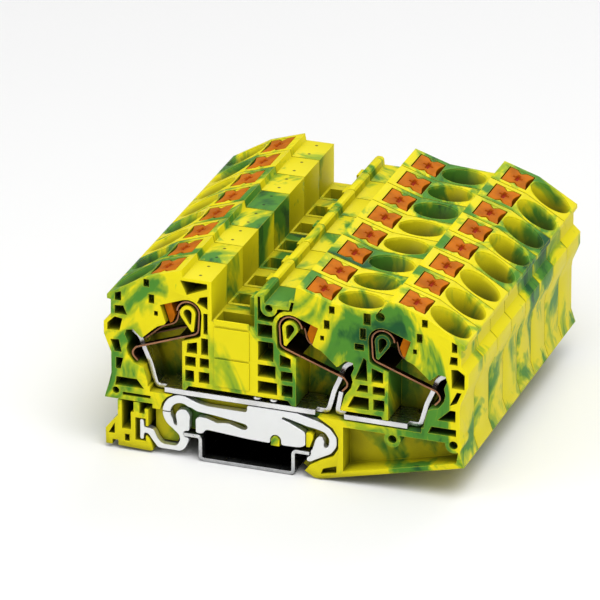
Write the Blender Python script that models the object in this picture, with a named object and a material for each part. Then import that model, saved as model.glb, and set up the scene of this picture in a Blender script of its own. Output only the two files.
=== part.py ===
"""A row of push-in protective-earth terminal blocks on a 35 mm top-hat rail.

Every block is the same moulding: a housing 12.2 mm wide with three clamping banks. Its open side faces -Y, and
the block in front of it closes it. The front block of the row shows its springs, current bars and earth foot.

Frame: X along a block, Y along the rail, +Z up. The origin is the centre of the rail's underside.
Sizes are in millimetres, and MM turns them into metres where a mesh is made.
"""

import math

import bmesh
import bpy
from mathutils import Matrix

MM = 0.001
CLEARANCE = 0.3

# The row along Y
BLOCK_COUNT = 8
PITCH = 12.2
RAIL_TAIL = 6.0

# Top-hat rail
RAIL_WIDTH = 35.0
RAIL_CHANNEL = 27.0
RAIL_HEIGHT = 7.5
RAIL_SHEET = 1.0

# Levels and places of a block
DECK = 18.3
BANK_RISE = 24.0
MIDDLE_BANK_X = 12.2
LEFT_BANK_X = -16.3
BANK_SPACING = 25.5
HOUSING_BACK_WALL = 1.0
POCKET_DEPTH = 8.0
SHALLOW_POCKET_DEPTH = 2.2
WEB_RECESS_DEPTH = 6.0

# Push button and its face on a bank
FACE_SLOPE = math.radians(18.0)
BUTTON_CENTRE_U = 7.4
BUTTON_LENGTH = 7.05
BUTTON_WIDTH = 8.4
BUTTON_TRAVEL = 2.5
BUTTON_HEAD_DEPTH = 4.5
BUTTON_SHOULDER_DROP = 0.5
STEM_LEFT = 0.55
STEM_RIGHT = 2.75
STEM_END = -14.4

# Wire funnel
FUNNEL_LENGTH = 12.6
FUNNEL_WIDTH = 10.4
FUNNEL_DEPTH = 7.0
WIRE_BORE = 6.8
BLIND_BORE_DEPTH = 14.0

# Spring, clamp leg and current bar
LOOP_RADIUS = 3.1
STRIP = 0.5
SPRING_WIDTH = 10.0
WINDOW_RAIL = 1.8
SPRING_INSET = 0.4
LOOP_GAP = 0.6
BAR_THICKNESS = 1.5
BAR_LEG_THICKNESS = 1.3
BAR_END = 10.4

# Earth foot, latch and release foot
FOOT_SHEET = 2.0

# Round details of the open side, and how far a cutter passes the face that it opens
MARKER_RING = (-5.9, 4.9)
RING_OUTER = 2.3
RING_BORE = 1.1
BOSS_RADIUS = 2.3
BOSS_BORE = 1.2
BORE_DEPTH = 3.0
CUTTER_REACH = 1.0
MOUTH_REACH = 4.0
ARC_STEP = math.radians(22.5)

FRONT_Y = -(BLOCK_COUNT * PITCH + RAIL_TAIL) / 2
BODY_WIDTH = PITCH - CLEARANCE
BANK_Z = DECK + BANK_RISE
RAIL_HALF = RAIL_WIDTH / 2
RIGHT_BANK_X = MIDDLE_BANK_X + BANK_SPACING
CAVITY_DEPTH = BODY_WIDTH - HOUSING_BACK_WALL
FOOT_RECESS_DEPTH = SPRING_INSET + FOOT_SHEET + CLEARANCE
CAVITY_RADIUS = LOOP_RADIUS + STRIP / 2 + LOOP_GAP
LEG_INSET = SPRING_INSET + WINDOW_RAIL + CLEARANCE
LEG_WIDTH = SPRING_WIDTH - 2 * (WINDOW_RAIL + CLEARANCE)


def clear_scene():
    for obj in list(bpy.data.objects):
        bpy.data.objects.remove(obj, do_unlink=True)


def new_collection(name, hidden=False):
    collection = bpy.data.collections.new(name)
    collection.hide_render = hidden
    bpy.context.scene.collection.children.link(collection)
    return collection


def new_material(name, colour, roughness, metallic=0.0):
    material = bpy.data.materials.new(name)
    material.use_nodes = True
    shader = material.node_tree.nodes["Principled BSDF"]
    shader.inputs["Base Color"].default_value = (*colour, 1.0)
    shader.inputs["Roughness"].default_value = roughness
    shader.inputs["Metallic"].default_value = metallic
    return material


clear_scene()
PARTS = new_collection("terminal_row")
CUTTERS = new_collection("terminal_row_cutters", hidden=True)
GREEN_YELLOW = new_material("green_yellow_plastic", (0.80, 0.72, 0.02), 0.45)
ORANGE = new_material("orange_plastic", (0.72, 0.17, 0.03), 0.5)
TINNED_COPPER = new_material("tinned_copper", (0.82, 0.83, 0.84), 0.3, 1.0)
SPRING_STEEL = new_material("spring_steel", (0.42, 0.30, 0.24), 0.35, 1.0)
ZINCED_STEEL = new_material("zinced_steel", (0.70, 0.71, 0.72), 0.3, 1.0)


def arc(centre, radius, start_deg, end_deg, step=ARC_STEP):
    """Points on a circle's arc in the X-Z plane, both ends included."""
    start, end = math.radians(start_deg), math.radians(end_deg)
    count = max(1, round(abs(end - start) / step))
    angles = [start + (end - start) * i / count for i in range(count + 1)]
    return [(centre[0] + radius * math.cos(a), centre[1] + radius * math.sin(a)) for a in angles]


def rectangle(x0, x1, z0, z1):
    return [(x0, z0), (x1, z0), (x1, z1), (x0, z1)]


def strip(path, thickness):
    """The outline of a strip of this thickness that follows a path, mitred at its bends."""
    sides = ([], [])
    for i, (x, z) in enumerate(path):
        before = path[max(i - 1, 0)]
        after = path[min(i + 1, len(path) - 1)]
        ahead = math.atan2(after[1] - z, after[0] - x) if i < len(path) - 1 else None
        behind = math.atan2(z - before[1], x - before[0]) if i else None
        first = behind if behind is not None else ahead
        second = ahead if ahead is not None else behind
        turn = (second - first + math.pi) % (2 * math.pi) - math.pi
        reach = thickness / 2 / math.cos(turn / 2)
        normal = first + turn / 2 + math.pi / 2
        for side, sign in zip(sides, (1, -1)):
            side.append((x + sign * reach * math.cos(normal), z + sign * reach * math.sin(normal)))
    return sides[0] + sides[1][::-1]


def as_mesh_object(name, curve_object, collection):
    """A curve object's solid as a mesh object with its caps welded on."""
    bpy.context.view_layer.update()
    graph = bpy.context.evaluated_depsgraph_get()
    mesh = bpy.data.meshes.new_from_object(curve_object.evaluated_get(graph))
    shell = bmesh.new()
    shell.from_mesh(mesh)
    bmesh.ops.remove_doubles(shell, verts=shell.verts, dist=0.001 * MM)
    bmesh.ops.recalc_face_normals(shell, faces=shell.faces)
    shell.to_mesh(mesh)
    shell.free()
    solid = bpy.data.objects.new(name, mesh)
    solid.matrix_world = curve_object.matrix_world
    curve = curve_object.data
    bpy.data.objects.remove(curve_object)
    bpy.data.curves.remove(curve)
    collection.objects.link(solid)
    return solid


def plate(name, outlines, y0, y1, collection):
    """A flat piece: outlines in the X-Z plane, holes included, carried from y0 to y1."""
    curve = bpy.data.curves.new(name, "CURVE")
    curve.dimensions = "2D"
    curve.fill_mode = "BOTH"
    curve.extrude = (y1 - y0) / 2 * MM
    for outline in outlines:
        spline = curve.splines.new("POLY")
        spline.points.add(len(outline) - 1)
        for point, (x, z) in zip(spline.points, outline):
            point.co = (x * MM, z * MM, 0.0, 1.0)
        spline.use_cyclic_u = True
    carrier = bpy.data.objects.new(name + "_outline", curve)
    carrier.rotation_euler = (math.pi / 2, 0.0, 0.0)
    carrier.location = (0.0, (y0 + y1) / 2 * MM, 0.0)
    bpy.context.scene.collection.objects.link(carrier)
    return as_mesh_object(name, carrier, collection)


def box(name, x, y, z, collection):
    """A box between the two values of each of x, y and z."""
    shell = bmesh.new()
    bmesh.ops.create_cube(shell, size=MM)
    for low_high, axis in zip((x, y, z), range(3)):
        for vertex in shell.verts:
            vertex.co[axis] = low_high[vertex.co[axis] > 0] * MM
    mesh = bpy.data.meshes.new(name)
    shell.to_mesh(mesh)
    shell.free()
    solid = bpy.data.objects.new(name, mesh)
    collection.objects.link(solid)
    return solid


def cone(name, lower_radius, upper_radius, length, stretch, collection, segments=20):
    """A closed cone standing on its lower end at the origin, stretched by this factor along X."""
    shell = bmesh.new()
    bmesh.ops.create_cone(
        shell,
        cap_ends=True,
        segments=segments,
        radius1=lower_radius * MM,
        radius2=upper_radius * MM,
        depth=length * MM,
        matrix=Matrix.Diagonal((stretch, 1.0, 1.0, 1.0)) @ Matrix.Translation((0, 0, length / 2 * MM)),
    )
    mesh = bpy.data.meshes.new(name)
    shell.to_mesh(mesh)
    shell.free()
    solid = bpy.data.objects.new(name, mesh)
    collection.objects.link(solid)
    return solid


def combine(target, other, operation):
    """Adds a Boolean of another solid, which becomes a hidden helper."""
    modifier = target.modifiers.new(other.name, "BOOLEAN")
    modifier.operation = operation
    modifier.object = other
    other.hide_render = True
    other.display_type = "WIRE"


def cut(target, cutter):
    combine(target, cutter, "DIFFERENCE")


def join(target, addition):
    combine(target, addition, "UNION")


def finish(solid, material):
    """Gives a piece its material, and smooth shading on its round faces."""
    solid.data.materials.clear()
    solid.data.materials.append(material)
    solid.data.shade_smooth()
    solid.data.set_sharp_from_angle(angle=math.radians(30))
    return solid


class Bank:
    """One clamping bank. Its own u runs from the spring loop towards the wire funnel, and v runs up."""

    def __init__(self, label, x, sign, funnel_face, bar_gap):
        self.label = label
        self.x = x
        self.sign = sign
        self.funnel_mouth = funnel_face
        self.bar_gap = bar_gap

    def place(self, points):
        """Points of the bank in the block's X-Z plane."""
        return [(self.x + self.sign * u, BANK_Z + v) for u, v in points]

    def tilt(self, angle):
        """Turns a tool that points up so that it leans towards the funnel."""
        return Matrix.Rotation(self.sign * angle, 4, "Y")


OUTER_MOUTH = (17.0, 5.6)
MIDDLE_MOUTH = (17.2, 9.0)
WIRE_POINT = (11.2, -8.0)
LEFT_BANK = Bank("left", LEFT_BANK_X, -1, OUTER_MOUTH, 0.0)
MIDDLE_BANK = Bank("middle", MIDDLE_BANK_X, 1, MIDDLE_MOUTH, 2.4)
RIGHT_BANK = Bank("right", RIGHT_BANK_X, 1, OUTER_MOUTH, 0.0)
BANKS = (LEFT_BANK, MIDDLE_BANK, RIGHT_BANK)

# Top face of a bank: from its ridge down the slope that the button is flush with
RIDGE = (1.7, 12.1)
FACE_FOOT = (11.6, RIDGE[1] - (11.6 - RIDGE[0]) * math.tan(FACE_SLOPE))
BUTTON_TOP = (BUTTON_CENTRE_U, RIDGE[1] - (BUTTON_CENTRE_U - RIDGE[0]) * math.tan(FACE_SLOPE))

# Earth foot: centre and radii of the sprung loop, and the level where the latch hook parts from it
LOOP_CENTRE = (-RAIL_HALF - 1.0, RAIL_HEIGHT + 5.3)
LOOP_OUTER = 5.2
LOOP_INNER = 3.0
SPLIT_HALF = 0.15
CUT_ANGLE_OUTER = math.degrees(math.asin(SPLIT_HALF / LOOP_OUTER))
CUT_ANGLE_INNER = math.degrees(math.asin(SPLIT_HALF / LOOP_INNER))


def block_front(index):
    return FRONT_Y + index * PITCH


def housing_outline():
    """The outline of a block, from its left shoulder clockwise."""
    left, middle, right = (bank.place for bank in BANKS)
    lip = RAIL_HALF + 0.6
    top_of_rail = RAIL_HEIGHT + CLEARANCE
    return (
        left([(23.5, -27.7), (23.5, -27.3), (22.3, -23.3), (21.6, -20.3), (21.6, -14.3), (23.0, -10.8)])
        + left([(23.6, -9.1), (23.6, -5.6), (21.6, -3.7), (21.5, 0.9), (22.6, 1.1), (22.6, 2.3)])
        + left([FACE_FOOT, RIDGE, (1.3, 10.1), (-6.7, 10.1), (-6.7, -1.3)])
        + middle([(-9.9, -1.3), (-9.9, 7.8), (-9.1, 8.4), (-7.8, 8.4), (-7.3, 7.9), (-7.1, 6.1)])
        + middle([(-0.5, 6.0), (-0.3, 7.9), (1.1, 8.0), RIDGE, FACE_FOOT, (23.5, 8.1)])
        + right([(-1.1, 8.1), RIDGE, FACE_FOOT, (22.5, 2.3), (22.5, 1.1), (21.5, 0.9), (21.5, -3.7)])
        + right([(23.5, -5.6), (23.5, -9.1), (22.9, -10.8), (21.5, -14.3), (21.2, -16.3)])
        + [(RIGHT_BANK_X + 21.3, 13.5), (RIGHT_BANK_X + 22.6, 9.7)]
        + [(RAIL_HALF + 3.0, 0.2), (RAIL_HALF + 1.5, 0.3), (RAIL_HALF - 2.5, 2.7)]
        + [(RAIL_HALF - 1.3, 4.1), (lip, 4.9), (lip, top_of_rail), (-lip, top_of_rail), (-lip, 5.6)]
        + [(-RAIL_HALF - 2.1, 5.0), (-RAIL_HALF - 2.8, 3.4), (-RAIL_HALF - 7.5, 3.4)]
        + [(-RAIL_HALF - 8.9, 4.6), (-RAIL_HALF - 8.9, DECK - 3.7)]
    )


def cavity_outline(bank):
    """The hollow of a bank: round the spring loop, down to the wire chamber and round the bar's hook."""
    slope_top = arc((0, 0), CAVITY_RADIUS, 180, 72)
    stem = [(7.75, 1.3), (6.15, -3.6), (6.6, -4.2), (8.5, -5.0), (9.9, -6.2), (12.9, -9.0)]
    hook = [(13.5, -8.6), (15.3, -6.9), (17.3, -7.2), (17.7, -8.6), (16.9, -10.6), (17.3, -12.6)]
    leg_end = [(16.9, -14.4), (15.3, -16.6), (12.6 + bank.bar_gap, -17.4)]
    floor = [(11.5 + bank.bar_gap, -21.2), (11.4 + bank.bar_gap, -22.8), (1.6, -22.8)]
    tower = [(1.6, -8.3), (-2.9, -6.7), (-3.6, -6.0)]
    return bank.place(slope_top + stem + hook + leg_end + floor + tower)


def post_outlines(bank):
    """The teardrop post inside the loop, and the teardrop hole in it."""
    outer = arc((0, 0), 2.15, 320, 540) + [(-1.7, -4.9), (-1.1, -5.1)]
    inner = arc((0, 0), 1.2, 325, 535) + [(-1.0, -3.0), (-0.5, -3.1)]
    return [bank.place(outer), bank.place(inner)]


def tower_pockets():
    """Ribbed pockets of the towers, and of the left and right ends."""
    left, middle, right = (bank.place for bank in BANKS)
    return [
        left([(2.0, 9.3), (-5.5, 9.2), (-5.5, 7.7), (0.2, 5.3)]),
        left([(-2.6, 3.4), (-5.6, 1.9), (-5.6, 5.7), (-3.4, 5.1)]),
        left([(-4.4, 0.7), (-5.6, 0.7), (-5.6, -5.3), (-4.4, -5.3)]),
        left([(-3.7, -6.5), (-5.7, -6.5), (-5.7, -11.3), (-3.7, -11.3)]),
        left([(-3.3, -12.3), (-5.9, -12.3), (-5.9, -15.0), (-3.3, -15.0)]),
        left([(-3.0, -16.3), (-6.0, -16.3), (-6.0, -19.5), (-3.0, -19.5)]),
        left([(0.2, -8.6), (-2.6, -7.9), (-2.6, -11.3), (0.4, -11.3)]),
        left([(0.8, -12.3), (-2.2, -12.3), (-2.2, -15.1), (0.8, -15.1)]),
        left([(0.8, -16.3), (-1.7, -16.3), (-1.7, -19.6), (0.8, -19.6)]),
        middle([(-9.0, -3.5), (-4.9, -3.5), (-4.9, 0.2), (-9.0, 0.2)]),
        middle([(-8.9, -10.3), (-4.6, -10.3), (-4.6, -4.8), (-8.9, -4.8)]),
        middle([(-9.0, -15.1), (-4.0, -15.1), (-4.0, -11.5), (-9.0, -11.5)]),
        middle([(-9.0, -19.8), (-3.6, -19.8), (-3.6, -16.3), (-9.0, -16.3)]),
        middle([(-2.9, -11.3), (0.2, -11.3), (0.2, -8.7), (-2.9, -7.8)]),
        middle([(-2.6, -15.3), (0.7, -15.3), (0.7, -12.6), (-2.6, -12.6)]),
        middle([(-2.4, -19.8), (0.7, -19.8), (0.7, -16.5), (-2.4, -16.5)]),
        right([(-5.2, -5.2), (-4.4, -5.8), (-4.1, -11.8), (-7.6, -11.8)]),
        right([(-3.0, -11.8), (0.2, -11.8), (0.2, -8.8), (-3.0, -7.8)]),
        right([(-7.2, -15.1), (-4.0, -15.1), (-4.0, -13.0), (-6.2, -13.0)]),
        right([(-2.7, -15.3), (0.7, -15.3), (0.7, -13.0), (-2.7, -13.0)]),
        right([(-9.6, -20.1), (-3.7, -20.1), (-3.7, -16.6), (-7.9, -16.6)]),
        right([(-2.5, -19.8), (0.6, -19.8), (0.6, -16.7), (-2.5, -16.7)]),
        left([(18.6, 0.9), (20.4, 0.9), (20.4, 3.0), (18.6, 3.7)]),
        left([(17.0, -3.0), (20.5, -3.0), (20.5, -0.6), (18.0, -0.4)]),
        left([(19.2, -7.8), (22.6, -8.0), (22.6, -6.0), (20.5, -3.9), (18.3, -4.2)]),
        left([(18.6, -14.0), (20.6, -14.0), (21.8, -10.6), (19.4, -10.4)]),
        left([(19.0, -18.9), (20.3, -18.9), (20.3, -15.6), (18.2, -15.6)]),
        left([(12.4, -23.8), (20.6, -23.8), (20.2, -21.2), (14.4, -21.2)]),
        left([(10.6, -26.4), (18.5, -26.4), (18.5, -25.5), (10.6, -25.5)]),
        right([(12.6, -24.0), (20.3, -24.0), (20.3, -22.0), (13.5, -22.0)]),
        right([(15.2, -19.9), (20.1, -19.9), (20.1, -16.6), (18.6, -16.6)]),
        right([(18.4, -15.4), (20.4, -14.4), (21.7, -11.2), (20.4, -11.2)]),
        right([(19.0, -10.2), (22.5, -10.2), (22.5, -6.0), (20.6, -4.7), (18.8, -4.9)]),
        right([(18.3, -3.5), (20.5, -3.5), (20.5, -1.2), (18.6, -1.2)]),
        right([(18.9, 0.0), (20.4, 0.0), (20.4, 2.4), (18.9, 3.0)]),
    ]


def marker_pocket():
    """The pocket below the marker groove, round the ring boss and over the loop's wall."""
    under = arc((0, 0), CAVITY_RADIUS + 1.0, 169, 110)
    ring = arc(MARKER_RING, RING_OUTER, 0, -180)
    return MIDDLE_BANK.place(
        [(-9.0, 7.9), (-9.0, 1.2)]
        + under
        + [(-0.4, 4.7), (0.5, 4.9), (1.1, 7.6), (0.3, 7.6), (-0.3, 5.2), (-3.3, 5.1)]
        + ring
        + [(-8.25, 7.9)]
    )


def funnel_side_pockets():
    """Shallow pockets beside each wire funnel, staggered down its two sides."""
    inner = [(10.7, 12.3, 6.0, 8.2), (9.3, 10.9, 1.4, 4.0), (8.3, 9.4, -2.0, -0.6)]
    outer = [(20.2, 22.2, 4.3, 7.6), (19.3, 20.9, 0.0, 3.2), (17.8, 20.4, -3.2, -1.4)]
    beside_buttons = [bank.place(rectangle(*sides)) for bank in BANKS for sides in inner]
    return beside_buttons + [MIDDLE_BANK.place(rectangle(*sides)) for sides in outer]


def foot_recess_outlines():
    """The flat recess of the earth foot and the latch hook, open to the left for the latch to move, and two pegs."""
    left = -RAIL_HALF
    right = RAIL_HALF
    ring = arc(LOOP_CENTRE, LOOP_OUTER + 0.6, 175, 90)
    edge = (
        [(left - 9.4, ring[0][1])]
        + ring
        + [(right + 2.0, DECK - 0.1), (right + 6.6, 15.4), (right + 8.1, 12.8), (right + 8.1, 9.6)]
        + [(right + 6.6, 7.1), (right + 3.1, 5.5), (right + 0.2, 3.7), (right - 3.5, -1.0)]
        + [(left - 9.4, -1.0)]
    )
    peg = [(6.85, 7.0), (9.15, 7.0), (9.15, 9.6), (8.5, 10.4), (7.5, 10.4), (6.85, 9.6)]
    post = [(-0.8, 8.9), (0.1, 8.9), (1.0, 11.4), (1.0, 12.6), (0.3, 13.1), (-0.8, 12.9)]
    return [edge, peg, [(right + x, z) for x, z in post]]


def web_recess_outline():
    """The thin web under the right bank, between the shelf, the inner wall and the flange."""
    start, end = RAIL_HALF + 9.4, RIGHT_BANK_X + 20.4
    flange_rise = (9.7 - 0.2) / (RIGHT_BANK_X + 22.6 - RAIL_HALF - 3.0)
    inner_z = 0.2 + 1.5 + flange_rise * (start - RAIL_HALF - 3.0)
    outer_z = 0.2 + 1.5 + flange_rise * (end - RAIL_HALF - 3.0)
    return [(start, inner_z), (end, outer_z), (end + 0.5, DECK - 4.6), (end, DECK - 2.1), (start, DECK - 2.1)]


def funnel_tools(bank, y, depth, collection, label):
    """The tapered mouth of a bank's wire funnel and the bore below it, leaning with the wire."""
    mouth, point = bank.funnel_mouth, WIRE_POINT
    lean = math.atan2(mouth[0] - point[0], mouth[1] - point[1])
    stretch = FUNNEL_LENGTH / FUNNEL_WIDTH
    narrow, wide = WIRE_BORE / 2 / stretch, FUNNEL_WIDTH / 2
    slope = (wide - narrow) / FUNNEL_DEPTH
    (x, z), = bank.place([mouth])
    middle = y + BODY_WIDTH / 2
    tools = []
    top, length = wide + slope * MOUTH_REACH, FUNNEL_DEPTH + MOUTH_REACH
    taper = cone(label + "_mouth", narrow, top, length, stretch, collection)
    bore = cone(label + "_bore", narrow, narrow, depth, stretch, collection, segments=16)
    for tool, down in ((taper, FUNNEL_DEPTH), (bore, depth)):
        at = Matrix.Translation((x * MM, middle * MM, z * MM))
        tool.matrix_world = at @ bank.tilt(lean) @ Matrix.Translation((0, 0, -down * MM))
        tools.append(tool)
    return tools


def button_frame(bank, y):
    """Where a button stands: its top's centre, leaning square to the bank's face."""
    (x, z), = bank.place([BUTTON_TOP])
    at = Matrix.Translation((x * MM, (y + BODY_WIDTH / 2) * MM, z * MM))
    return at @ bank.tilt(FACE_SLOPE)


def button_outline(sign):
    half = BUTTON_LENGTH / 2
    head = [(-half, 0.0), (-half, -BUTTON_HEAD_DEPTH), (STEM_LEFT, -BUTTON_HEAD_DEPTH)]
    toe = [(STEM_LEFT, STEM_END + 2.0), (STEM_RIGHT - 0.8, STEM_END + 0.2), (STEM_RIGHT, STEM_END)]
    shoulder_level = -BUTTON_HEAD_DEPTH - BUTTON_SHOULDER_DROP
    shoulder = [(STEM_RIGHT, shoulder_level), (half, shoulder_level), (half, 0.0)]
    return [(sign * s, t) for s, t in head + toe + shoulder]


def button_shaft_outline(sign):
    """The shaft that a button slides in: a wide part for its head and a slot for its stem."""
    half = BUTTON_LENGTH / 2 + CLEARANCE
    floor = -BUTTON_HEAD_DEPTH - BUTTON_SHOULDER_DROP - BUTTON_TRAVEL - CLEARANCE
    low = STEM_END - BUTTON_TRAVEL - CLEARANCE
    left, right = STEM_LEFT - CLEARANCE, STEM_RIGHT + CLEARANCE
    outline = [(-half, 3.0), (-half, floor), (left, floor), (left, low), (right, low)]
    return [(sign * s, t) for s, t in outline + [(right, floor - 0.2), (half, floor - 0.2), (half, 3.0)]]


def make_button(bank, index):
    y = block_front(index)
    half = BUTTON_WIDTH / 2
    name = f"button_{bank.label}_{index + 1}"
    button = plate(name, [button_outline(bank.sign)], -half, half, PARTS)
    button.data.transform(button.matrix_world)
    button.matrix_world = button_frame(bank, y)
    groove = cone(name + "_driver_pit", 0.9, 1.3, 1.2, 1.0, CUTTERS, segments=8)
    groove.matrix_world = button_frame(bank, y) @ Matrix.Translation((0, 0, -0.8 * MM))
    cut(button, groove)
    return finish(button, ORANGE)


def make_shaft_cutter(bank, y, label):
    half = BUTTON_WIDTH / 2 + CLEARANCE
    shaft = plate(label + "_shaft", [button_shaft_outline(bank.sign)], -half, half, CUTTERS)
    shaft.data.transform(shaft.matrix_world)
    shaft.matrix_world = button_frame(bank, y)
    return shaft


def make_housing(index):
    """A block's housing with what every block shows: funnels, button shafts and the bridge shaft."""
    y = block_front(index)
    name = f"housing_{index + 1}"
    housing = plate(name, [housing_outline()], y, y + BODY_WIDTH, PARTS)
    post = box(name + "_bridge_post", (MIDDLE_BANK_X - 13.8, MIDDLE_BANK_X - 9.4), (y + 7.6, y + BODY_WIDTH),
               (BANK_Z - 3.3, BANK_Z + 3.7), CUTTERS)
    join(housing, post)
    shaft = box(name + "_bridge_shaft", (LEFT_BANK_X + 7.3, MIDDLE_BANK_X - 10.4),
                (y + 1.1, y + 7.3), (DECK + 4.0, BANK_Z + 12.0), CUTTERS)
    cut(housing, shaft)
    bore_depth = BLIND_BORE_DEPTH if index else math.dist(MIDDLE_MOUTH, WIRE_POINT) - 1.0
    for bank in BANKS:
        label = f"{name}_{bank.label}"
        cut(housing, make_shaft_cutter(bank, y, label))
        for tool in funnel_tools(bank, y, bore_depth, CUTTERS, label):
            cut(housing, tool)
    return housing


def open_front_housing(housing):
    """The hollows on the open side of the front block."""
    y = block_front(0)
    outside = y - CUTTER_REACH
    slot_top = DECK + BAR_THICKNESS + CLEARANCE
    bar_slot = rectangle(LEFT_BANK_X - BAR_END - 0.4, RIGHT_BANK_X + BAR_END + 0.4, DECK - CLEARANCE, slot_top)
    cavities = [cavity_outline(bank) for bank in BANKS]
    posts = [outline for bank in BANKS for outline in post_outlines(bank)]
    gap = [(LEFT_BANK_X - 1.0, DECK + 1.5), (MIDDLE_BANK_X + 0.6, DECK + 1.5),
           (MIDDLE_BANK_X - 0.6, DECK + 3.1), (LEFT_BANK_X + 0.2, DECK + 3.1)]
    short_gap = [(MIDDLE_BANK_X + 13.7, DECK + 1.5), (RIGHT_BANK_X + 0.3, DECK + 1.5),
                 (RIGHT_BANK_X - 0.3, DECK + 2.7), (MIDDLE_BANK_X + 13.7, DECK + 2.7)]
    bottom = y + CAVITY_DEPTH
    cut(housing, plate("cavities", cavities + posts, outside, bottom, CUTTERS))
    cut(housing, plate("bar_slot", [bar_slot], outside, bottom, CUTTERS))
    cut(housing, plate("bar_gaps", [gap, short_gap], outside, bottom, CUTTERS))
    cut(housing, plate("pockets", tower_pockets() + [marker_pocket()], outside, y + POCKET_DEPTH, CUTTERS))
    cut(housing, plate("funnel_pockets", funnel_side_pockets(), outside, y + SHALLOW_POCKET_DEPTH, CUTTERS))
    cut(housing, plate("foot_recess", foot_recess_outlines(), outside, y + FOOT_RECESS_DEPTH, CUTTERS))
    cut(housing, plate("web_recess", [web_recess_outline()], outside, y + WEB_RECESS_DEPTH, CUTTERS))
    foot_pocket = [(RAIL_HALF + x, z) for x, z in ((3.2, 1.6), (7.6, 2.5), (7.6, 4.6), (3.9, 3.3))]
    cut(housing, plate("right_foot_pocket", [foot_pocket], outside, y + SHALLOW_POCKET_DEPTH, CUTTERS))
    for label, x, z in boss_places():
        boss = plate(label, [arc((x, z), BOSS_RADIUS, 0, 337.5)], y, y + WEB_RECESS_DEPTH + 0.4, CUTTERS)
        join(housing, boss)
    bores = [arc((x, z), BOSS_BORE, 0, 337.5) for _, x, z in boss_places()]
    (ring,) = MIDDLE_BANK.place([MARKER_RING])
    bores.append(arc(ring, RING_BORE, 0, 337.5))
    (left_hole,) = LEFT_BANK.place([(20.4, -25.3)])
    bores.append(arc(left_hole, 1.0, 0, 337.5))
    (right_hole,) = RIGHT_BANK.place([(-0.7, 7.1)])
    bores.append(arc(right_hole, 1.3, 0, 337.5))
    cut(housing, plate("boss_bores", bores, outside, y + BORE_DEPTH, CUTTERS))


def boss_places():
    """The round bosses of the web: name and centre."""
    return (
        ("web_boss_middle", RIGHT_BANK_X + 2.8, DECK - 3.4),
        ("web_boss_end", RIGHT_BANK_X + 19.6, DECK - 2.5),
    )


def make_release_foot(index):
    """The moulded foot at the left end, which springs outward to let the block off the rail."""
    y = block_front(index)
    left = -RAIL_HALF
    top = DECK - 3.7 - CLEARANCE
    outline = [
        (-22.2, 1.0), (-20.3, 1.0), (-20.3, 2.4), (-18.7, 2.4), (-18.7, 0.9), (-9.5, 0.6), (-8.8, 1.0),
        (-9.2, 2.5), (-9.8, 4.0), (-10.5, 4.7), (-11.3, 5.0), (-11.3, 7.7), (-10.1, 7.7), (-10.1, 12.7),
        (-11.2, 12.7), (-11.2, 11.2), (-12.6, 11.2), (-12.6, top), (-14.3, top), (-14.3, 11.2), (-15.1, 11.2),
        (-15.1, 6.0), (-17.6, 6.0), (-17.6, top), (-18.8, top), (-18.8, 9.5), (-22.3, 5.5),
    ]
    name = f"release_foot_{index + 1}"
    foot = plate(name, [[(left + x, z) for x, z in outline]], y, y + BODY_WIDTH, PARTS)
    if index == 0:
        slots = [rectangle(left - 13.8, left - 10.9, 3.2, 9.8), rectangle(left - 16.8, left - 15.5, 2.5, 4.5)]
        gusset = [(left - 21.4, 4.2), (left - 19.7, 4.2), (left - 19.7, 7.3)]
        cut(foot, plate("foot_slots", slots, y - CUTTER_REACH, y + FOOT_RECESS_DEPTH, CUTTERS))
        cut(foot, plate("foot_gusset", [gusset], y - CUTTER_REACH, y + POCKET_DEPTH, CUTTERS))
    return finish(foot, GREEN_YELLOW)


def make_rail():
    half, channel = RAIL_HALF, RAIL_CHANNEL / 2
    sheet, top = RAIL_SHEET, RAIL_HEIGHT
    right_side = [
        (channel, 0.0), (channel, top - sheet), (half, top - sheet), (half, top),
        (channel - sheet, top), (channel - sheet, sheet),
    ]
    outline = right_side + [(-x, z) for x, z in reversed(right_side)]
    rail = plate("din_rail", [outline], FRONT_Y, FRONT_Y + BLOCK_COUNT * PITCH + RAIL_TAIL, PARTS)
    return finish(rail, ZINCED_STEEL)


def spring_path():
    """The middle line of the spring: hooked end, straight leg, bend, and the loop up to the clamp leg."""
    hooked = [(14.3, -15.9), (15.6, -14.5), (15.7, -13.6), (14.8, -12.1)]
    bend = [(-1.9, -6.0), (-2.8, -5.3)]
    return hooked + bend + arc((0, 0), LOOP_RADIUS, 180, 2)


def clamp_leg_path():
    return [(3.08, -0.4), (3.5, -1.8), (3.75, -3.3), (4.6, -4.55), (8.0, -5.9), (9.3, -7.0), (12.7, -10.1)]


def make_spring(bank):
    y = block_front(0) + SPRING_INSET
    name = f"spring_{bank.label}"
    spring = plate(name, [bank.place(strip(spring_path(), STRIP))], y, y + SPRING_WIDTH, PARTS)
    window = bank.place([(2.5, -9.3), (13.9, -13.2), (14.5, -10.6), (3.1, -6.5)])
    cut(spring, plate(name + "_window", [window], y + WINDOW_RAIL, y + SPRING_WIDTH - WINDOW_RAIL, CUTTERS))
    return finish(spring, SPRING_STEEL)


def make_clamp_leg(bank):
    y = block_front(0) + LEG_INSET
    (x, z), = bank.place([(0, 0)])
    leg = plate(f"clamp_leg_{bank.label}", [bank.place(strip(clamp_leg_path(), STRIP))], y, y + LEG_WIDTH, PARTS)
    leg.data.transform(Matrix.Translation((-x * MM, 0, -z * MM)) @ leg.matrix_world)
    leg.matrix_world = Matrix.Translation((x * MM, 0, z * MM))
    return finish(leg, SPRING_STEEL)


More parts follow.
